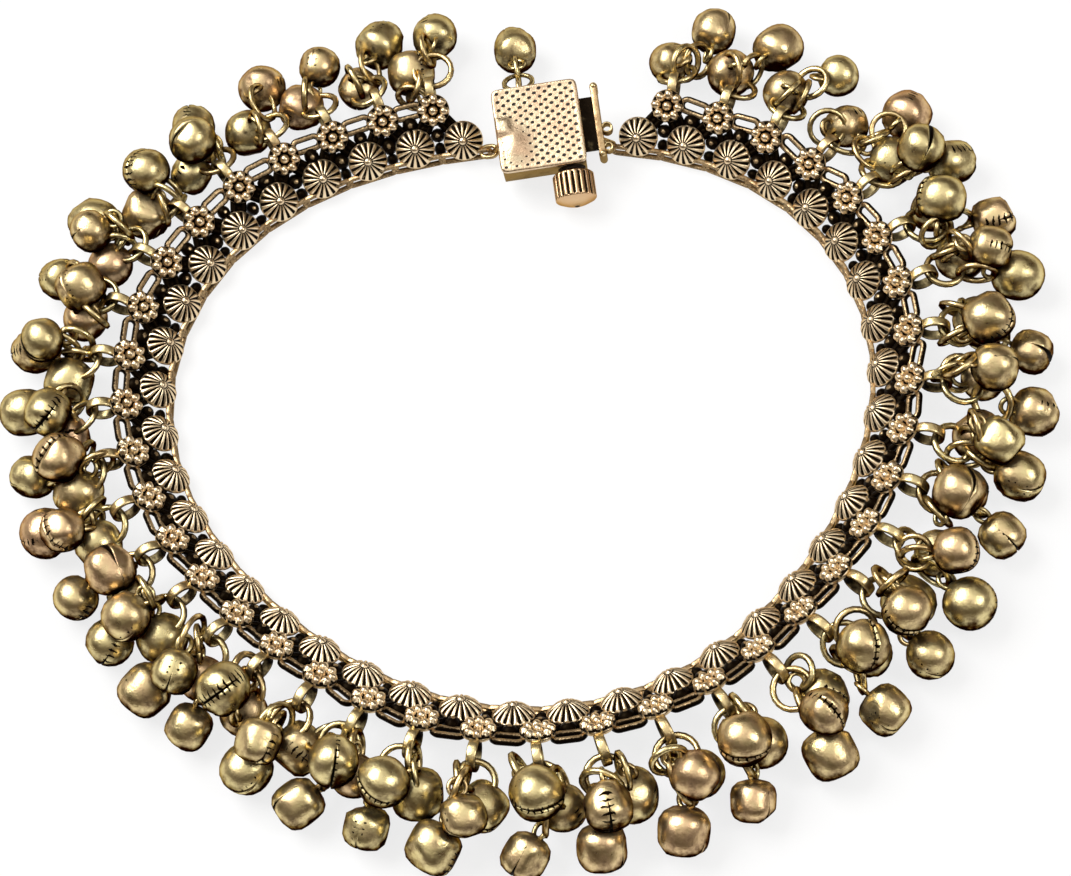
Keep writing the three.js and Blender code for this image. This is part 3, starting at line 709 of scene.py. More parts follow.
# %% Worn brass
def worn_brass(name, olive, rosy, brown, shade, edge, smooth, ragged, marked=False):
    """Olive to rosy by tone and patches, brown in stains and as painted shade where the surface looks down, shade in
    the hollows and in punched marks if it has any, and edge where the surface turns away. Its roughness goes from
    smooth to ragged by the patches."""
    material, tree, shader = new_finish(name)
    place = add(tree, "ShaderNodeTexCoord").outputs["Object"]
    tone = add(tree, "ShaderNodeAttribute", attribute_name="tone").outputs["Fac"]
    hollow = add(tree, "ShaderNodeAttribute", attribute_name="hollow").outputs["Fac"]
    # stains about 1.6 mm across, and scuffs of 0.22 mm
    stains = add(tree, "ShaderNodeTexNoise", {
        "Vector": place, "Scale": 1 / (1.6 * MM), "Detail": 3.0, "Roughness": 0.6,
    })
    scuffs = add(tree, "ShaderNodeTexNoise", {"Vector": place, "Scale": 1 / (0.22 * MM), "Detail": 2.0})
    shift = add(tree, "ShaderNodeMapRange", {
        "Value": stains, "From Min": 0.35, "From Max": 0.7, "To Min": -0.22, "To Max": 0.3,
    })
    lean = add(tree, "ShaderNodeMath", {0: tone, 1: shift}, operation="ADD", use_clamp=True)
    clean = add(tree, "ShaderNodeMix", {"Factor": lean, "A": linear(olive), "B": linear(rosy)}, data_type="RGBA")
    # painted shade: brown where the surface looks down, with brown stains making its edge uneven
    under = add(tree, "ShaderNodeAttribute", attribute_name="underside_shade").outputs["Fac"]
    stains_and_underside_shade = add(tree, "ShaderNodeMath", {0: stains, 1: 0.7, 2: under}, operation="MULTIPLY_ADD")
    brown_stains_and_shade = add(tree, "ShaderNodeMapRange", {"Value": stains_and_underside_shade, "From Min": 0.37, "From Max": 0.74},
                    interpolation_type="SMOOTHSTEP")
    metal = add(tree, "ShaderNodeMix", {
        "Factor": brown_stains_and_shade, "A": clean.outputs["Result"], "B": linear(brown),
    }, data_type="RGBA")
    deep = add(tree, "ShaderNodeMath", {0: hollow, 1: stains}, operation="ADD")
    dim = add(tree, "ShaderNodeMapRange", {"Value": deep, "From Min": 0.62, "From Max": 1.25},
              interpolation_type="SMOOTHSTEP")
    dark = dim
    if marked:
        dark = add(tree, "ShaderNodeMath", {0: punched_marks(tree, stains), 1: dim}, operation="MAXIMUM")
    colour = add(tree, "ShaderNodeMix", {
        "Factor": dark, "A": metal.outputs["Result"], "B": linear(shade),
    }, data_type="RGBA")
    roughness = add(tree, "ShaderNodeMapRange", {
        "Value": stains, "From Min": 0.3, "From Max": 0.75, "To Min": smooth, "To Max": ragged,
    })
    dull = add(tree, "ShaderNodeMath", {0: dark, 1: 0.35, 2: roughness}, operation="MULTIPLY_ADD")
    metallic = add(tree, "ShaderNodeMapRange", {"Value": dark, "From Min": 0.6, "To Min": 1.0, "To Max": 0.5})
    # the dents of handling are as wide as the stains, and deeper than the scuffs
    relief = add(tree, "ShaderNodeMath", {0: stains, 1: 3.0, 2: scuffs}, operation="MULTIPLY_ADD")
    bump = add(tree, "ShaderNodeBump", {"Height": relief, "Strength": 0.4, "Distance": 0.06 * MM})
    # brass that has aged does not turn white towards its edges
    feed(tree, shader, {
        "Specular Tint": linear(edge), "Base Color": colour.outputs["Result"], "Roughness": dull,
        "Metallic": metallic, "Normal": bump,
    })
    return material


bell_finish = worn_brass("worn stamped brass", "#EEDCA2", "#F0C89E", "#301B07", "#0A0402", "#84623A", 0.27, 0.43,
                         marked=True)
wire_finish = worn_brass("drawn brass wire", "#F0DEA4", "#E6C48A", "#3C240A", "#140A04", "#8A6A40", 0.25, 0.37)
bail_finish = worn_brass("rolled brass strip", "#EEDAA2", "#DEBA88", "#3C240A", "#0E0603", "#8A6A40", 0.28, 0.42)
print("finishes", bell_finish.name, "and", wire_finish.name, "and", bail_finish.name)


# %% [markdown]
# ## Bails
#
# Behind each flower a strip of brass is bent to a ring and soldered on. It stands upright, and its hole faces along
# the band, so that the rings of the bells hang in it and swing outwards. It is a flat section carried round a circle.

# %% Bails
BAIL_OUTER, BAIL_HOLE, BAIL_WIDTH, BAIL_REACH, BAIL_DROP = 1.9, 1.4, 1.15, 3.05, 0.15
BAIL_LEAN = 0.07
flower_outward = ROW_SPACING * np.cos(BAND_TILT)
bail_outward = flower_outward + BAIL_REACH
bail_up = DOME_LIFT + ROW_SPACING * np.sin(BAND_TILT) - BAIL_DROP

bail_section = flat_section(BAIL_OUTER - BAIL_HOLE, BAIL_WIDTH)
bail_points, bail_faces = bent_ring(circle((BAIL_OUTER + BAIL_HOLE) / 2, 24), bail_section)
# the strip is darker and duller inside its hole and towards where it is soldered under the flower
inside = np.tile(np.clip(-bail_section[:, 0] * 2.2, 0, 0.5), len(bail_points) // len(bail_section))
under = np.clip(-bail_points[:, 0] / BAIL_OUTER, 0, 1) ** 2 * 0.55
for number, _, flowers in sections():
    origins, axes = ring_frames(dome_places(flowers) + pitch / 2, bail_outward, bail_up)
    upright = spun(axes, rng.normal(0, BAIL_LEAN, len(flowers)))[:, [1, 2, 0]]
    tones = np.repeat(rng.uniform(0.0, 0.5, len(flowers)), len(bail_points)).reshape(len(flowers), -1, 1)
    marks = {"tone": tones, "hollow": (inside + under)[None, :, None]}
    add_piece("bails_" + number, [(placed(bail_points, origins, upright), bail_faces, marks)],
              "band_section_" + number, bail_finish)
print("bails stand %.2f mm out and %.2f mm up" % (bail_outward, bail_up))


# %% [markdown]
# ## One bell
#
# A ghungroo bell is two cups of sheet brass soldered to a squat ball, slit across its mouth. Its grid has its poles
# at the two ends of the slit, so that six lines of the grid run along the slit, and the inner two can be pushed in.
# The squareness of the ball, its height, its dents and its flat worn spots differ from bell to bell.

# %% Bells
BELL_DENTS, DENT_DEPTH, WORN_SPOTS = 3, 0.012, 4  # depths are shares of the bell's radius
SLIT_DEPTH, SOLDER_HEIGHT, SOLDER_SPREAD = 0.13, 0.06, 0.24
MARK_SPACING, TICK_REACH, DOT_ASIDE, DOT_SIZE = 0.8, 1.1, 0.55, 0.17  # millimetres
TICKED, DOTTED = 0.6, 0.8  # of ten bells six have ticks, two have dots, and two have a slit alone
UNMARKED = 9.0
TALLNESS, FLAT_SPOT, HIGHEST = (0.92, 1.0), (0.9, 1.02), 1.1  # shares of the bell's radius
ANY_TURN = 6.3


def bell_grid():
    """Directions from the bell's middle: (cos u, sin u sin v, -sin u cos v), with six lines close to v = 0."""
    u = np.linspace(0, np.pi, 15)[:, None]
    v = np.concatenate([[-0.19, -0.062, -0.040, 0.040, 0.062, 0.19], np.linspace(0.36, 2 * np.pi - 0.36, 18)])
    return np.stack([np.cos(u) + 0 * v, np.sin(u) * np.sin(v), -np.sin(u) * np.cos(v)], -1), u, v


def bells(radius, seeds, squareness=(2.0, 3.4)):
    """Surfaces of bells about their own middles, loop side up: (bells, n, 3), faces and marks.
    Reach = (h^p + |z|^p)^(-1/p) for squareness p, plus dents, cut flat where a worn spot's plane is nearer, over its
    own mean, so that each bell has the given radius on average. Solder adds to it on top, and the slit takes away."""
    grid, u, v = bell_grid()
    count = len(radius)
    square = seeds.uniform(*squareness, (count, 1, 1))
    tall = seeds.uniform(*TALLNESS, (count, 1, 1))
    level_share = np.hypot(grid[..., 0], grid[..., 1])
    reach = (level_share ** square + np.abs(grid[..., 2]) ** square) ** (-1 / square)
    for _ in range(BELL_DENTS):
        wave = seeds.normal(0, 1.0, (count, 1, 1, 3))
        reach = reach + DENT_DEPTH * np.sin(2.4 * (grid * wave).sum(-1) + seeds.uniform(0, ANY_TURN, (count, 1, 1)))
    for _ in range(WORN_SPOTS):
        facing = seeds.normal(0, 1, (count, 1, 1, 3))
        facing /= np.linalg.norm(facing, axis=-1, keepdims=True)
        height = (grid * facing).sum(-1) * reach
        flat = seeds.uniform(*FLAT_SPOT, (count, 1, 1))
        reach = reach * np.where(height > flat, flat / np.maximum(height, 0.1), 1)
    reach = reach / reach.mean(axis=(1, 2), keepdims=True)
    solder = np.exp(-(np.arccos(np.clip(grid[..., 2], -1, 1)) / SOLDER_SPREAD) ** 2)
    reach = np.minimum(reach + SOLDER_HEIGHT * solder, HIGHEST)
    slit = (np.abs((v + np.pi) % (2 * np.pi) - np.pi) < 0.05) * np.clip(np.sin(u) * 4 - 0.6, 0, 1)
    reach = reach - SLIT_DEPTH * slit
    shape = grid * (reach * radius[:, None, None])[..., None]
    shape[..., 2] *= tall
    tone = np.clip(seeds.normal(0.28, 0.3, (count, 1, 1)), 0, 1) + 0 * reach
    # painted shade in the slit, as the dark inside of the bell, and half dark round the solder on top: patina
    # there, and painted shade where the loop sits
    hollow = np.maximum(0.95 * slit + 0 * reach, 0.42 * np.exp(-((1 - grid[..., 2]) / 0.22) ** 2) + 0 * reach)
    # the marks are evenly spaced along the slit: ticks that reach as far on each side as that bell's punch did, a
    # row of dots beside it, or none, where the slit gapes up to four times as wide in its middle
    along = np.arctan2(grid[..., 0], -grid[..., 2]) * radius[:, None, None] / MARK_SPACING
    aside = np.abs(shape[..., 1])
    near_side = seeds.uniform(0.2, TICK_REACH, (count, 1, 1))
    ticks = np.where(shape[..., 1] > 0, near_side, seeds.uniform(0, TICK_REACH, (count, 1, 1)))
    kind = seeds.uniform(0, 1, (count, 1, 1))
    dots = np.where(kind < DOTTED, np.abs(aside - DOT_ASIDE) / DOT_SIZE, UNMARKED)
    share = np.where(kind < TICKED, aside / ticks, dots)
    gape = np.where(kind < DOTTED, 1.0, seeds.uniform(1.0, 4.0, (count, 1, 1))) * np.clip(np.sin(u), 0.2, 1) ** 2
    mark = np.stack([along, shape[..., 1] / gape, grid[..., 2] + 0 * reach], -1)
    marks = {"tone": tone[..., None], "hollow": hollow[..., None], "tick_share": share[..., None], "mark_place": mark}
    marks = {key: shell_points(np.broadcast_to(value, (*shape.shape[:-1], value.shape[-1])))
             for key, value in marks.items()}
    return shell_points(shape), shell_faces(*grid.shape[:2]), marks


def frames_from(third, aside, spin):
    """Axes whose third is given: the first is aside crossed into it, then turned about it."""
    third = third / np.linalg.norm(third, axis=-1, keepdims=True)
    first = np.cross(aside, third)
    first /= np.linalg.norm(first, axis=-1, keepdims=True)
    return spun(np.stack([first, np.cross(third, first), third], 1), np.broadcast_to(spin, len(third)))


print("bell grid", bell_grid()[0].shape)

# %% [markdown]
# ## Clusters
#
# In each bail hangs one wide ring, and on it hang the bells by a ring or two each and a small soldered loop. The
# bells lie where the frame has them: some on the ground and some on top of two others. A chain follows a bent line
# from the wide ring to the bell's loop, and every second ring on it is turned a quarter, as in any chain. A bell or
# ring that would stand out of the frame's box is moved in until it doesn't.

# %% Where the bells lie
BELL_RADIUS, BELL_SPREAD = 2.78, 0.22
NEAR_REACH, FAR_REACH, FAR_WANDER = 4.9, 9.9, 0.25
UPPER_REACH, UPPER_WANDER, UPPER_SWAY = 6.7, 1.5, 0.9
DRAPE_REACH, DRAPE_TURN, SPARSE_TURN = 0.75, np.radians(90), np.radians(50)
SWAY_SHARE, HINGE_ROOM = 0.25, 0.07
JUMP_WIRE, JUMP_ROOM = 0.33, 0.33
WIRE_OUTWARD = bail_outward + BAIL_HOLE - JUMP_WIRE - JUMP_ROOM  # where the frame's jump ring lies in the bail


def wander(index, salt):
    """The part's own even variation: sin(2.399 index + 1.7 salt)."""
    return np.sin(index * 2.399 + salt * 1.7)


def bell_spots(index):
    """Middles and radii of one cluster's bells, from the wire in the bail: sideways, outward and up. The outer and
    the inner bell lie to either side, and the third rests on them: its height over each is sqrt(d^2 - x^2 - y^2)."""
    turn = 2 * np.pi * ((dome_places(index) + pitch / 2) / ring_length - 0.5)
    drape = DRAPE_REACH * (1 + np.cos(turn - DRAPE_TURN))
    step = index % DOMES_PER_SECTION
    away_from_hinge = int(step == DOMES_PER_SECTION - 1) - int(step == 0)
    radius = BELL_RADIUS + BELL_SPREAD * wander(index, np.arange(3))
    reach = np.array([FAR_REACH + drape + FAR_WANDER * wander(index, 3), NEAR_REACH + drape / 2,
                      UPPER_REACH + drape / 2 + UPPER_WANDER * wander(index, 4)])
    spots = np.zeros((3, 3))
    spots[:, 1] = reach
    for bell, side in ((0, 1), (1, -1)):
        here, beside = ring_frames(dome_places([index, index + 1]) + pitch / 2, WIRE_OUTWARD + reach[bell])[0]
        hinge_room = HINGE_ROOM / 2 * (reach[bell] + WIRE_OUTWARD)
        spots[bell, 0] = side * SWAY_SHARE * np.linalg.norm(here - beside) + away_from_hinge * hinge_room
        spots[bell, 2] = radius[bell] - bail_up
    spots[2, 0] = UPPER_SWAY * wander(index, 5)
    apart = radius[:2] + radius[2]
    over = np.clip(apart ** 2 - ((spots[:2, :2] - spots[2, :2]) ** 2).sum(1), 0, None)
    spots[2, 2] = np.max(spots[:2, 2] + np.sqrt(over))
    count = 2 if abs(turn) > np.pi - SPARSE_TURN else 3
    return spots[:count], radius[:count]


print("first cluster's bells", bell_spots(0)[0].round(2).tolist())

# %% Rings and chains
CHAIN_RADIUS, CHAIN_WIRE, CHAIN_SAG = 2.15, 0.40, 0.5
LOOP_RADIUS, LOOP_WIRE, LOOP_OUT = 1.0, 0.30, 0.55


def rings(radius, wire, origins, axes):
    """Wire rings of any sizes: the circle times its radius, plus the wire's own circle."""
    path, section = circle(1.0, 20), circle(1.0, 6)
    radius, wire = radius[:, None, None, None], wire[:, None, None, None]
    spoke = path[None, :, None] * (radius + wire * section[None, None, :, :1])
    rise = np.broadcast_to(wire * section[None, None, :, 1:], (*spoke.shape[:3], 1))
    points = np.concatenate([spoke, rise], -1).reshape(len(radius), -1, 3)
    return origins[:, None] + points @ axes, tube_faces(len(path), len(section))


def chain(start, end, swing, size, seeds):
    """Rings along a bent line (1-t)^2 a + 2t(1-t) q + t^2 b: their middles, axes and radii. Every second one is
    turned a quarter."""
    bend = (start + end) / 2 + [swing, 0, CHAIN_SAG]
    # a little longer than the straight line, and each ring but for its wire takes up two radii of it
    length = np.linalg.norm(end - start) * 1.03 + abs(swing) * 0.3
    count = max(1, int(np.ceil((length - 1.0) / (2 * (size - CHAIN_WIRE)))))
    t = (np.arange(count) + 0.5)[:, None] / count
    middles = (1 - t) ** 2 * start + 2 * t * (1 - t) * bend + t ** 2 * end
    along = 2 * (1 - t) * (bend - start) + 2 * t * (end - bend)
    along /= np.linalg.norm(along, axis=1, keepdims=True)
    flat = np.cross([1.0, 0.0, 0.0], along)
    flat /= np.linalg.norm(flat, axis=1, keepdims=True)
    turned = np.cross(along, flat)
    spin = (np.arange(count) % 2 + 1) * np.pi / 2 + seeds.normal(0, 0.35, count)
    third = np.cos(spin)[:, None] * flat + np.sin(spin)[:, None] * turned
    axes = np.stack([along, np.cross(third, along), third], 1)
    radius = np.full(count, max(size, length / count / 2 + CHAIN_WIRE + 0.05))
    return middles, axes, radius


sample = chain(np.zeros(3), np.array([0, 5.0, 0]), 0, CHAIN_RADIUS, np.random.default_rng(1))
print("rings in a chain over 5 mm:", len(sample[0]))


# %% One cluster
LOW_BELL = 2.0
BELL_SHARE = 1.045  # makes up for the dents and worn spots
BELL_INSET = [0.9, 1.0, 1.2]  # the outer, the inner and the third bell hang this much closer to the band


def hung_bells(index, seeds):
    """The bells of one cluster in its own frame, each turned more or less towards the bail from where it lies. Also
    the middle of each bell's loop, which is middle + way (radius + LOOP_OUT), and the way the bell is turned."""
    spots, radius = bell_spots(index)
    radius = BELL_SHARE * radius
    spots[:, 1] -= BELL_INSET[:len(spots)]
    shapes, faces, marks = bells(radius, seeds)
    above = np.array([0.0, 2.2, 1.2]) + seeds.normal(0, 0.5, (len(spots), 3))
    toward = above - spots + seeds.normal(0, 2.2, (len(spots), 3)) * [1, 0.6, 1]
    toward /= np.linalg.norm(toward, axis=1, keepdims=True)
    axes = frames_from(toward, seeds.normal(0, 1, (len(spots), 3)), seeds.uniform(0, ANY_TURN, len(spots)))
    shapes = shapes @ axes
    lowest = bail_up + spots[:, 2] + shapes[..., 2].min(axis=1)
    spots[:, 2] -= np.where(lowest < LOW_BELL, lowest, 0)  # the lower ones are put down on the ground
    return (spots[:, None] + shapes, faces, marks), spots + toward * (radius + LOOP_OUT)[:, None], toward


def hung_rings(holds, toward, seeds):
    """The wide ring in the bail, and for each bell a chain from that ring and the bell's own small loop."""
    wide = CHAIN_RADIUS * seeds.uniform(1.0, 1.14)
    lean = np.array([seeds.normal(0, 0.25), 1.0, seeds.uniform(-0.6, -0.15)])
    wide_frame = frames_from(np.cross([1.0, 0, 0], lean)[None] + seeds.normal(0, 0.2, 3), lean, 0)
    wide_middle = wide * wide_frame[0, 1]
    middles, facings, sizes, wires = [wide_middle[None]], [wide_frame], [[wide]], [[CHAIN_WIRE]]
    for hold, way in zip(holds, toward):
        # a chain starts on the wide ring, at the point nearest to its bell
        flat = (hold - wide_middle) @ wide_frame[0, :2].T
        start = wide_middle + wide * flat / np.linalg.norm(flat) @ wide_frame[0, :2]
        swing = seeds.choice([-1, 1]) * seeds.uniform(0.2, 1.2)
        size = CHAIN_RADIUS * seeds.uniform(0.9, 1.08)
        ring_middles, ring_axes, ring_sizes = chain(start, hold + 0.35 * way, swing, size, seeds)
        middles += [ring_middles, hold[None]]
        facings += [ring_axes, frames_from(np.cross(way, seeds.normal(0, 1, 3))[None], way, 0)]
        sizes += [ring_sizes, [LOOP_RADIUS]]
        wires += [np.full(len(ring_sizes), CHAIN_WIRE) * seeds.uniform(0.9, 1.1), [LOOP_WIRE]]
    points, tube = rings(np.concatenate(sizes), np.concatenate(wires), np.concatenate(middles),
                         np.concatenate(facings))
    tone = np.repeat(seeds.uniform(0, 0.7, len(points)), points.shape[1]).reshape(len(points), -1, 1)
    return points, tube, {"tone": tone}


# %% Kept in the frame's box
BOX_ROOM = 0.01


def kept_inside(points):
    """Each copy moved by as much as it stands out of the frame's box: clip(low - min, 0) - clip(max - high, 0)."""
    low, high = np.array(cad_box, float) / MM + np.array([[BOX_ROOM], [-BOX_ROOM]])
    over = np.clip(points.max(1) - high, 0, None) - np.clip(low - points.min(1), 0, None)
    return points - over[:, None]


print("box to stay in", (np.array(cad_box) / MM).round(1).tolist())


# %% Every cluster
def add_cluster(index):
    """Bells and rings, from the cluster's own frame into the row's: the joint gives its origin and first axis."""
    joint = joints["bell_swing_%02d" % (index + 1)]
    first = np.array(joint["axis"], float)
    axes = np.stack([first, np.cross([0, 0, 1], first), [0, 0, 1]])
    origin = np.array(joint["pos_m"]) / MM
    seeds = np.random.default_rng(100 + index)
    bell_part, holds, toward = hung_bells(index, seeds)
    ring_part = hung_rings(holds, toward, seeds)
    for kind, (points, faces, marks), finish in (("bells", bell_part, bell_finish), ("rings", ring_part, wire_finish)):
        add_piece("%s_%02d" % (kind, index + 1), [(kept_inside(origin + points @ axes), faces, marks)],
                  "bell_cluster_%02d" % (index + 1), finish)


for index in range(FLOWERS):
    add_cluster(index)
print("bells and rings added to", FLOWERS, "clusters")

# %% [markdown]
# ## The clasp's own frame
#
# The clasp is tilted and turned a little against the band. The pin's joint tells how: its axis runs inward along the
# plate. From it come the clasp's x, towards the open end, its y, outward, and its z, square to the plate, with the
# origin in the middle of the plate's top.

# %% Clasp frame
PLATE_LENGTH, PLATE_WIDTH, PLATE_THICKNESS = 10.8, 11.0, 0.7
CASE_LENGTH, CASE_WIDTH, CASE_FLOOR, CASE_WALL = 10.4, 10.2, -4.8, 0.5
PIN_ALONG, PIN_UP, PIN_RADIUS, BORE_RADIUS = 3.3, -2.65, 0.6, 0.9

pin_joint = joints["tongue_hinge"]
plate_y = -np.array(pin_joint["axis"], float)
plate_x = np.array([plate_y[1], -plate_y[0], 0]) / np.hypot(plate_y[0], plate_y[1])
plate_z = np.cross(plate_x, plate_y)
clasp_axes = np.stack([plate_x, plate_y, plate_z])
clasp_origin = np.array(pin_joint["pos_m"]) / MM - PIN_ALONG * plate_x - PIN_UP * plate_z


def in_clasp(points):
    """One copy of the points, out of the clasp's frame."""
    return placed(np.asarray(points, float), clasp_origin, clasp_axes)


def clasp_part(surface, **values):
    """One copy of a surface out of the clasp's frame, with marks that are the same all over it."""
    points, faces = surface
    return in_clasp(points), faces, even_marks(points, **values)


def to_clasp(point):
    """A point of the row's frame, in the clasp's: its offset times the three axes."""
    return clasp_axes @ (np.asarray(point) - clasp_origin)


print("plate's top at", clasp_origin.round(2))

# %% [markdown]
# ## The plate
#
# The lid of the clasp is pressed sheet, a rounded square with slightly raised edges. It is pierced all over with fine
# oval holes in a brick pattern, but for a thumb-worn swelling where the pattern has been polished away. Object
# coordinates can't follow the tilted plate, so its mesh carries its own place in the clasp's frame, in millimetres.

# %% Pierced plate finish
HALF_CELL_X, HALF_CELL_Y, HALF_HOLE_X, HALF_HOLE_Y = 0.665, 0.54, 0.28, 0.19


def pierced_brass(name, pale, rosy, dark):
    """Brass with oval holes: the nearer of two shifted lattices, each cell's offset over the hole's half sizes."""
    material, tree, shader = new_finish(name)
    place = add(tree, "ShaderNodeAttribute", attribute_name="mark_place").outputs["Vector"]
    flat = add(tree, "ShaderNodeVectorMath", {0: place, 1: (1, 1, 0)}, operation="MULTIPLY")
    object_place = add(tree, "ShaderNodeTexCoord").outputs["Object"]
    ragged = add(tree, "ShaderNodeTexNoise", {"Vector": object_place, "Scale": 1 / (0.5 * MM), "Detail": 1.0})
    depths = []
    for shift in ((0.0, 0.0, 0.0), (HALF_CELL_X, HALF_CELL_Y, 0.0)):
        moved = add(tree, "ShaderNodeVectorMath", {0: flat, 1: shift}, operation="ADD")
        cell = add(tree, "ShaderNodeVectorMath", {
            0: moved, 1: (HALF_CELL_X, HALF_CELL_Y, 1.0), 2: (-HALF_CELL_X, -HALF_CELL_Y, -1.0),
        }, operation="WRAP")
        shape = add(tree, "ShaderNodeVectorMath", {0: cell, 1: (1 / HALF_HOLE_X, 1 / HALF_HOLE_Y, 0)},
                    operation="MULTIPLY")
        depths.append(add(tree, "ShaderNodeVectorMath", {0: shape}, operation="LENGTH").outputs["Value"])
    nearest = add(tree, "ShaderNodeMath", {0: depths[0], 1: depths[1]}, operation="MINIMUM")
    wavy = add(tree, "ShaderNodeMath", {0: ragged, 1: 0.5, 2: nearest}, operation="MULTIPLY_ADD")
    worn = add(tree, "ShaderNodeAttribute", attribute_name="hollow").outputs["Fac"]
    spared = add(tree, "ShaderNodeMath", {0: worn, 1: wavy}, operation="ADD")
    hole = add(tree, "ShaderNodeMapRange", {
        "Value": spared, "From Min": 1.0, "From Max": 1.4, "To Min": 1.0, "To Max": 0.0,
    }, interpolation_type="SMOOTHSTEP")
    # patches of rosy brass about 3 mm across, and scuffs of 0.3 mm
    patches = add(tree, "ShaderNodeTexNoise", {"Vector": object_place, "Scale": 1 / (3 * MM), "Detail": 3.0})
    scuffs = add(tree, "ShaderNodeTexNoise", {"Vector": object_place, "Scale": 1 / (0.3 * MM), "Detail": 2.0})
    lean = add(tree, "ShaderNodeMapRange", {"Value": patches, "From Min": 0.35, "From Max": 0.65})
    metal = add(tree, "ShaderNodeMix", {"Factor": lean, "A": linear(pale), "B": linear(rosy)}, data_type="RGBA")
    # painted shade: the holes are dark, as the inside of the case seen through them
    colour = add(tree, "ShaderNodeMix", {
        "Factor": hole, "A": metal.outputs["Result"], "B": linear(dark),
    }, data_type="RGBA")
    metallic = add(tree, "ShaderNodeMapRange", {"Value": hole, "To Min": 1.0, "To Max": 0.2})
    roughness = add(tree, "ShaderNodeMapRange", {
        "Value": scuffs, "From Min": 0.3, "From Max": 0.7, "To Min": 0.30, "To Max": 0.44,
    })
    relief = add(tree, "ShaderNodeMath", {0: hole, 1: -1.0, 2: scuffs}, operation="MULTIPLY_ADD")
    bump = add(tree, "ShaderNodeBump", {"Height": relief, "Strength": 0.6, "Distance": 0.08 * MM})
    feed(tree, shader, {
        "Base Color": colour.outputs["Result"], "Roughness": roughness, "Metallic": metallic, "Normal": bump,
    })
    return material


plate_finish = pierced_brass("pierced gilt brass", "#EAD8B4", "#DFBE9C", "#1A0E06")
gilt_finish = worn_brass("gilt brass", "#E4CC98", "#D6AC80", "#8E7450", "#1A0F08", "#E0D0B0", 0.26, 0.42)
print("one hole in", round(2 * HALF_CELL_X * HALF_CELL_Y, 2), "square millimetres")


# %% The plate
PLATE_SQUARENESS, PLATE_DISH, PLATE_RIM, PLATE_SETBACK, SWELLING = 16, 0.10, 0.05, 0.07, 0.5


def clasp_plate():
    """Rings of a rounded square, from the middle of its top to the middle of its underside. Outline, for squareness
    p: (|cos a / A|^p + |sin a / B|^p)^(-1/p). Swellings: exp(-(x/a)^2 - (y/b)^2), and to the power of 4."""
    columns = 112
    a = (np.arange(columns) + 0.5) * 2 * np.pi / columns
    half_x, half_y = PLATE_LENGTH / 2, PLATE_WIDTH / 2
    power = PLATE_SQUARENESS
    outline = (np.abs(np.cos(a) / half_x) ** power + np.abs(np.sin(a) / half_y) ** power) ** (-1 / power)
    # each ring's share of the outline, and how far it lies below the top
    shares = np.concatenate([np.linspace(0, 0.94, 20), [0.965, 0.985, 1.0, 1.0, 0.985, 0.5, 0.0]])
    drops = np.concatenate([np.zeros(20), [0.02, 0.08, 0.2, 0.5, 0.66, PLATE_THICKNESS, PLATE_THICKNESS]])
    x = shares[:, None] * outline * np.cos(a)
    y = shares[:, None] * outline * np.sin(a)
    dish = PLATE_DISH * (1 - (x / half_x) ** 2) * (1 - (y / half_y) ** 2)
    worn = np.exp(-((x + 3.3) / 1.4) ** 2 - ((y + 2.0) / 2.1) ** 2) + 0.8 * np.exp(
        -((x + 4.5) / 1.0) ** 4 - ((y - 0.5) / 1.1) ** 4)
    rim = PLATE_RIM * (shares[:, None] > 0.9)
    top = (np.arange(len(shares)) < 21)[:, None]
    height = -drops[:, None] + top * (SWELLING * worn - dish + rim - PLATE_SETBACK)
    grid = np.stack([x, y, height], -1)
    # the holes are filled on the swelling, and there are none at the edge
    spared = 1.2 * np.clip(worn * 1.6, 0, 1) + 1.5 * (shares[:, None] > 0.96)
    marks = {"hollow": shell_points(spared[..., None]), "mark_place": shell_points(grid)}
    add_piece("pierced_plate", [(in_clasp(shell_points(grid)), shell_faces(len(shares), columns), marks)],
              "clasp_plate", plate_finish)


clasp_plate()
print("plate", PLATE_LENGTH, "by", PLATE_WIDTH, "mm")


# %% [markdown]
# ## The case
#
# Under the plate is a tray of sheet brass, open on the side of the tongue. Its two long walls have a hole for the
# pin. An eye on its outer wall holds a bell of its own, and a short arm with a loop holds the band's first link.

# %% Case
def pierced_wall(low, high, bore, radius, start, end):
    """A wall in x and z with a round hole, from y start to y end. Round the hole's middle, each ray meets the
    outline at the nearer of the two sides that it heads for."""
    corners = [np.arctan2(z - bore[1], x - bore[0]) for x in (low[0], high[0]) for z in (low[1], high[1])]
    a = np.unique(np.concatenate([np.linspace(-np.pi, np.pi, 48, endpoint=False), corners]))
    away = np.stack([np.cos(a), np.sin(a)], 1)
    side = np.where(away > 0, high, low) - bore
    reach = np.min(np.abs(side) / np.maximum(np.abs(away), 1e-9), axis=1)[:, None]
    outer, inner = bore + away * reach, bore + away * radius
    loops = [(outer, start), (outer, end), (inner, end), (inner, start)]
    grid = np.stack([np.stack([loop[:, 0], np.full(len(a), y), loop[:, 1]], 1) for loop, y in loops])
    return grid.reshape(-1, 3), tube_faces(4, len(a))


def upright_ring(radius, wire, at):
    """A wire ring about the clasp's x axis, at its place."""
    points, faces = bent_ring(circle(radius, 28), circle(wire, 8))
    return points[:, [2, 0, 1]] + at, faces


EYE_AT, EYE_RADIUS, EYE_WIRE = np.array([-1.9, 5.9, -2.65]), 0.95, 0.3
ARM_RADIUS, CASE_LINK_UP, CASE_LINK_WIRE = 0.42, 1.25, 0.27

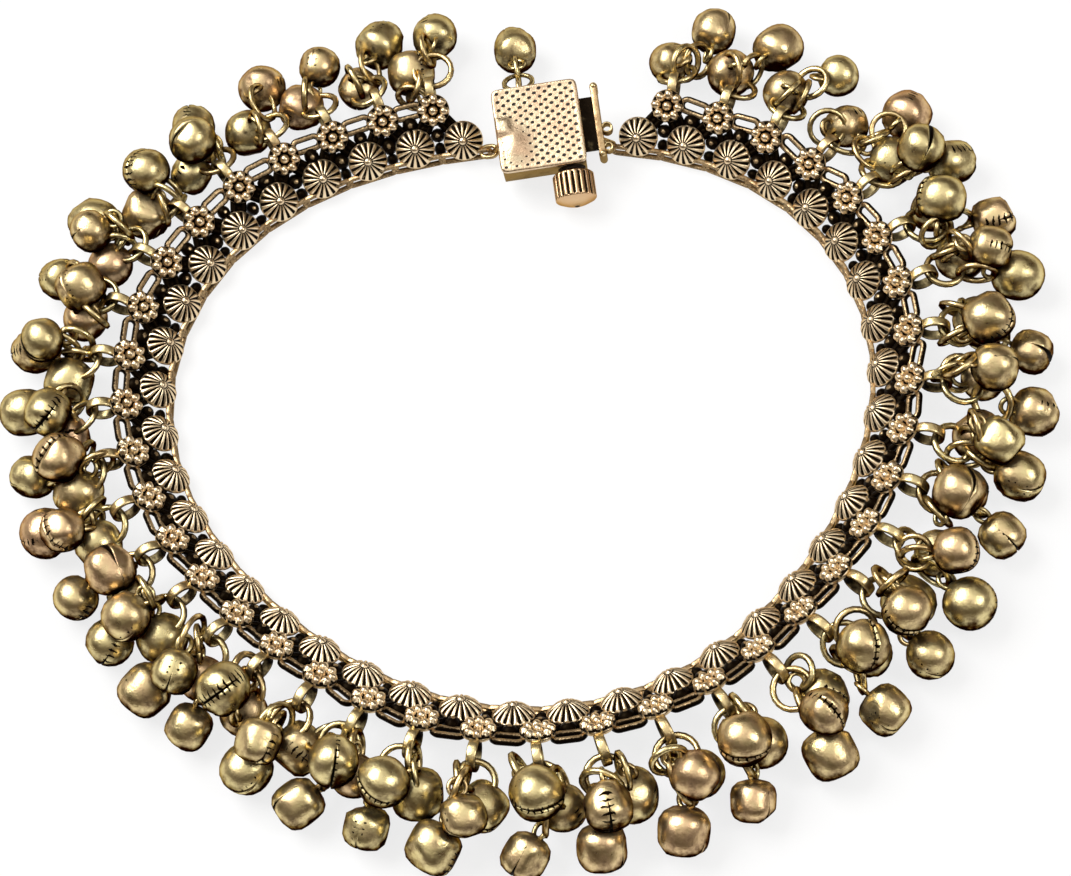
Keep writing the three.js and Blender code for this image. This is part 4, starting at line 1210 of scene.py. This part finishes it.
half_length, inner_width = CASE_LENGTH / 2, CASE_WIDTH / 2 - CASE_WALL
tray_floor, tray_top = CASE_FLOOR + CASE_WALL, -PLATE_THICKNESS - 0.02
bore_at = np.array([PIN_ALONG, PIN_UP])
low, high = np.array([-half_length, CASE_FLOOR]), np.array([half_length, tray_top])
parts = []
for start in (-CASE_WIDTH / 2, inner_width):
    parts.append(clasp_part(pierced_wall(low, high, bore_at, BORE_RADIUS, start, start + CASE_WALL), hollow=0.12))
parts += [clasp_part(block([-half_length, -inner_width, CASE_FLOOR], [half_length, inner_width, tray_floor])),
          clasp_part(block([-half_length, -inner_width, tray_floor],
                           [-half_length + CASE_WALL, inner_width, tray_top]))]
add_piece("clasp_tray", parts, "clasp_case", gilt_finish, bevel=0.12)

link_at, link_axes = ring_frames(dome_places(0) - pitch / 2, -STRAP_INSET, CASE_LINK_UP)
link_points, link_faces = bent_ring(oval(2.1, 1.7, 24), circle(CASE_LINK_WIRE, 8))
arm_end = to_clasp(link_at[0] + 0.8 * link_axes[0, 0])
arm = straight_rod([-half_length + 0.25, arm_end[1], tray_floor + ARM_RADIUS], arm_end, ARM_RADIUS)
add_piece("case_loops", [(placed(link_points, link_at, link_axes), link_faces, {}), clasp_part(arm),
                         clasp_part(upright_ring(EYE_RADIUS, EYE_WIRE, EYE_AT))], "clasp_case", gilt_finish)
print("arm from the case to", arm_end.round(2))

# %% [markdown]
# ## The tongue
#
# The band's other end carries the tongue: a barrel that the pin runs through, a web, and outside the case a narrow
# upright bar with a rolled knuckle at each end. A curled strip and an arm join it to the last link.

# %% Tongue
BRACKET_AT, BRACKET_WIDTH, BRACKET_TOP = 7.4, 10.0, -1.0
BARREL_LENGTH, BARREL_RADIUS, HALF_WEB = 7.0, 1.1, 0.35
KNUCKLE_RADIUS, KNUCKLE_INSET, LAST_LINK_UP = 0.5, 0.55, 2.27
SCROLL_ASIDE = 1.26


def turned_shape(profile, place, columns, flutes):
    """A lathe shape about the clasp's y axis, inward: rings of radius and distance, with the radius drawn in by the
    third number times ((1 + cos of flutes times a) / 2)^3, which makes the grooves narrow. The fourth is patina."""
    a = np.arange(columns) * 2 * np.pi / columns
    groove = ((1 + np.cos(flutes * a)) / 2) ** 3 if flutes else 0 * a
    radius = profile[:, :1] - profile[:, 2:3] * groove
    grid = np.stack([radius * np.cos(a), -profile[:, 1:2] + 0 * a, radius * np.sin(a)], -1)
    hollow = np.clip(profile[:, 3:4] + (profile[:, 2:3] > 0.02) * np.clip(groove * 1.5, 0, 1), 0, 1)
    return shell_points(grid) + place, shell_faces(len(profile), columns), {"hollow": shell_points(hollow[..., None])}


pin_place = np.array([PIN_ALONG, 0, PIN_UP])
web = block([PIN_ALONG + BARREL_RADIUS, -BARREL_LENGTH / 2, PIN_UP - HALF_WEB],
            [BRACKET_AT, BARREL_LENGTH / 2, PIN_UP + HALF_WEB])
bar_end = BRACKET_WIDTH / 2 - 0.4
bar = block([BRACKET_AT - 0.45, -bar_end, PIN_UP - 1.2], [BRACKET_AT + 0.4, bar_end, BRACKET_TOP])
# painted shade: the web is near black, as the dark gap under the plate
add_piece("tongue_plate", [clasp_part(web, hollow=0.8), clasp_part(bar, tone=0.7, hollow=0.3)],
          "clasp_tongue", gilt_finish, bevel=0.15)

last_at = ring_frames(dome_places(SECTIONS * DOMES_PER_SECTION) - pitch / 2, -STRAP_INSET, LAST_LINK_UP)[0][0]
tongue_tip = to_clasp(last_at)
barrel_points, barrel_faces = bent_ring(circle(BARREL_RADIUS, 28), flat_section(0.4, BARREL_LENGTH))
parts = [clasp_part((barrel_points[:, [0, 2, 1]] + pin_place, barrel_faces), hollow=0.5),
         clasp_part(straight_rod([BRACKET_AT, tongue_tip[1], PIN_UP], tongue_tip, ARM_RADIUS))]
for end in (KNUCKLE_INSET - BRACKET_WIDTH / 2, BRACKET_WIDTH / 2 - KNUCKLE_INSET):
    parts.append(clasp_part(straight_rod([BRACKET_AT, end, PIN_UP - 1.25], [BRACKET_AT, end, BRACKET_TOP - 0.35],
                                         KNUCKLE_RADIUS)))
for aside, size in ((SCROLL_ASIDE, 0.62), (-SCROLL_ASIDE, 0.5)):
    scroll_points, scroll_faces = bent_ring(circle(size, 20), flat_section(0.3, 1.5))
    where = [BRACKET_AT + 0.3 + size, tongue_tip[1] + aside, PIN_UP + 0.1]
    parts.append(clasp_part((scroll_points + where, scroll_faces), hollow=0.15))
add_piece("tongue_fittings", parts, "clasp_tongue", gilt_finish)
print("tongue's arm ends at", tongue_tip.round(2))


# %% [markdown]
# ## The screw pin
#
# The pin's knob is a fluted drum with a low pink cone on its end and a dark centre mark. The grooves hold patina, as
# in the studs. The thin washer under it stays the frame's own solid and only gets its dark steel.

# %% Pin, washer and pellet
KNOB_START, KNOB_END, KNOB_RADIUS, KNOB_FLUTES = 6.15, 9.55, 2.6, 20
knob = np.array([  # radius, distance inward, depth of the grooves, patina
    [0.0, KNOB_START, 0, 0.6], [1.9, KNOB_START, 0, 0.5], [2.42, KNOB_START + 0.05, 0, 0.3],
    [2.58, KNOB_START + 0.22, 0.02, 0.1], [KNOB_RADIUS, KNOB_START + 0.42, 0.26, 0.08],
    [KNOB_RADIUS, KNOB_START + 1.2, 0.30, 0.05], [KNOB_RADIUS, KNOB_END - 0.9, 0.30, 0.05],
    [KNOB_RADIUS, KNOB_END - 0.28, 0.24, 0.05], [2.56, KNOB_END - 0.10, 0.02, 0.1],
    [2.44, KNOB_END + 0.02, 0, 0.1], [1.6, KNOB_END + 0.42, 0, 0.0], [0.42, KNOB_END + 0.84, 0, 0.05],
    [0.26, KNOB_END + 0.78, 0, 1.0], [0.0, KNOB_END + 0.74, 0, 1.0],
])
shank = np.array([
    [0, -5.6, 0, 0.3], [0.5, -5.6, 0, 0.2], [PIN_RADIUS, -5.5, 0, 0.1], [PIN_RADIUS, KNOB_START + 0.1, 0, 0.3],
    [0, KNOB_START + 0.1, 0, 0.3],
])
parts = []
for profile, flutes, columns in ((knob, KNOB_FLUTES, 8 * KNOB_FLUTES), (shank, 0, 24)):
    points, faces, marks = turned_shape(profile, pin_place, columns, flutes)
    parts.append((in_clasp(points), faces, marks))
knob_finish = oxidised_brass("oxidised gilt brass", "#DFC49A", "#D3A67E", "#140C07", 0.55)
add_piece("fluted_pin", parts, "screw_pin", knob_finish)


def dark_steel(name):
    """Blued steel with fine turning marks."""
    material, tree, shader = new_finish(name)
    place = add(tree, "ShaderNodeTexCoord").outputs["Object"]
    grain = add(tree, "ShaderNodeTexNoise", {"Vector": place, "Scale": 1 / (0.4 * MM), "Detail": 3.0})
    colour = add(tree, "ShaderNodeMix", {
        "Factor": grain, "A": linear("#15130F"), "B": linear("#3A342C"),
    }, data_type="RGBA")
    roughness = add(tree, "ShaderNodeMapRange", {"Value": grain, "To Min": 0.3, "To Max": 0.55})
    feed(tree, shader, {"Base Color": colour.outputs["Result"], "Roughness": roughness, "Metallic": 1.0})
    return material


STEEL_NODES = ("pin_washer", "clasp_bell_pellet")
steel_finish = dark_steel("blued steel")
for node in STEEL_NODES:
    solid = frame["nodes"][node]
    solid.data.materials.clear()
    solid.data.materials.append(steel_finish)
print("flutes", KNOB_FLUTES, "steel nodes", len(STEEL_NODES))

# %% [markdown]
# ## The bell on the clasp
#
# From the eye hang two rings at a right angle to each other, and a bell of its own. The three joints of that chain
# say where each begins.

# %% Clasp bell
CLASP_BELL_RADIUS, CHAIN_RING_RADIUS, CHAIN_RING_WIRE = 2.85, 1.8, 0.33
CLASP_BELL_HANG, CLASP_BELL_TURN = 4.55, 0.4

holds = [np.array(joints[name]["pos_m"]) / MM
         for name in ("clasp_ring_swing", "clasp_chain_bend", "clasp_bell_swing")]
hang = (holds[2] - holds[0]) / np.linalg.norm(holds[2] - holds[0])
across = np.array(joints["clasp_ring_swing"]["axis"], float)
hang_axes = np.stack([across, hang, np.cross(across, hang)])
seeds = np.random.default_rng(11)
for name, start, facing in (("clasp_ring_inner", holds[0], hang_axes),
                            ("clasp_ring_outer", holds[1], hang_axes[[2, 1, 0]] * [[-1], [1], [1]])):
    points, faces = rings(np.array([CHAIN_RING_RADIUS]), np.array([CHAIN_RING_WIRE]),
                          (start + CHAIN_RING_RADIUS * hang)[None], facing[None])
    add_piece(name + "_wire", [(points, faces, even_marks(points[0], tone=0.15))], name, wire_finish)
points, faces, marks = bells(np.array([CLASP_BELL_RADIUS]), seeds, (3.4, 3.8))
marks["tone"] = np.full_like(marks["tone"], 0.1)
bell_axes = frames_from(-hang[None], across, CLASP_BELL_TURN)
bell_middle = holds[2] + CLASP_BELL_HANG * hang
add_piece("clasp_bell_brass", [(kept_inside(bell_middle + points @ bell_axes), faces, marks)],
          "clasp_bell", bell_finish)
points, faces = rings(np.array([EYE_RADIUS]), np.array([EYE_WIRE]), (holds[2] + EYE_RADIUS * hang)[None],
                      hang_axes[None])
add_piece("clasp_bell_loop", [(points, faces, even_marks(points[0], tone=0.2))], "clasp_bell", wire_finish)
print("clasp bell's middle", bell_middle.round(2))
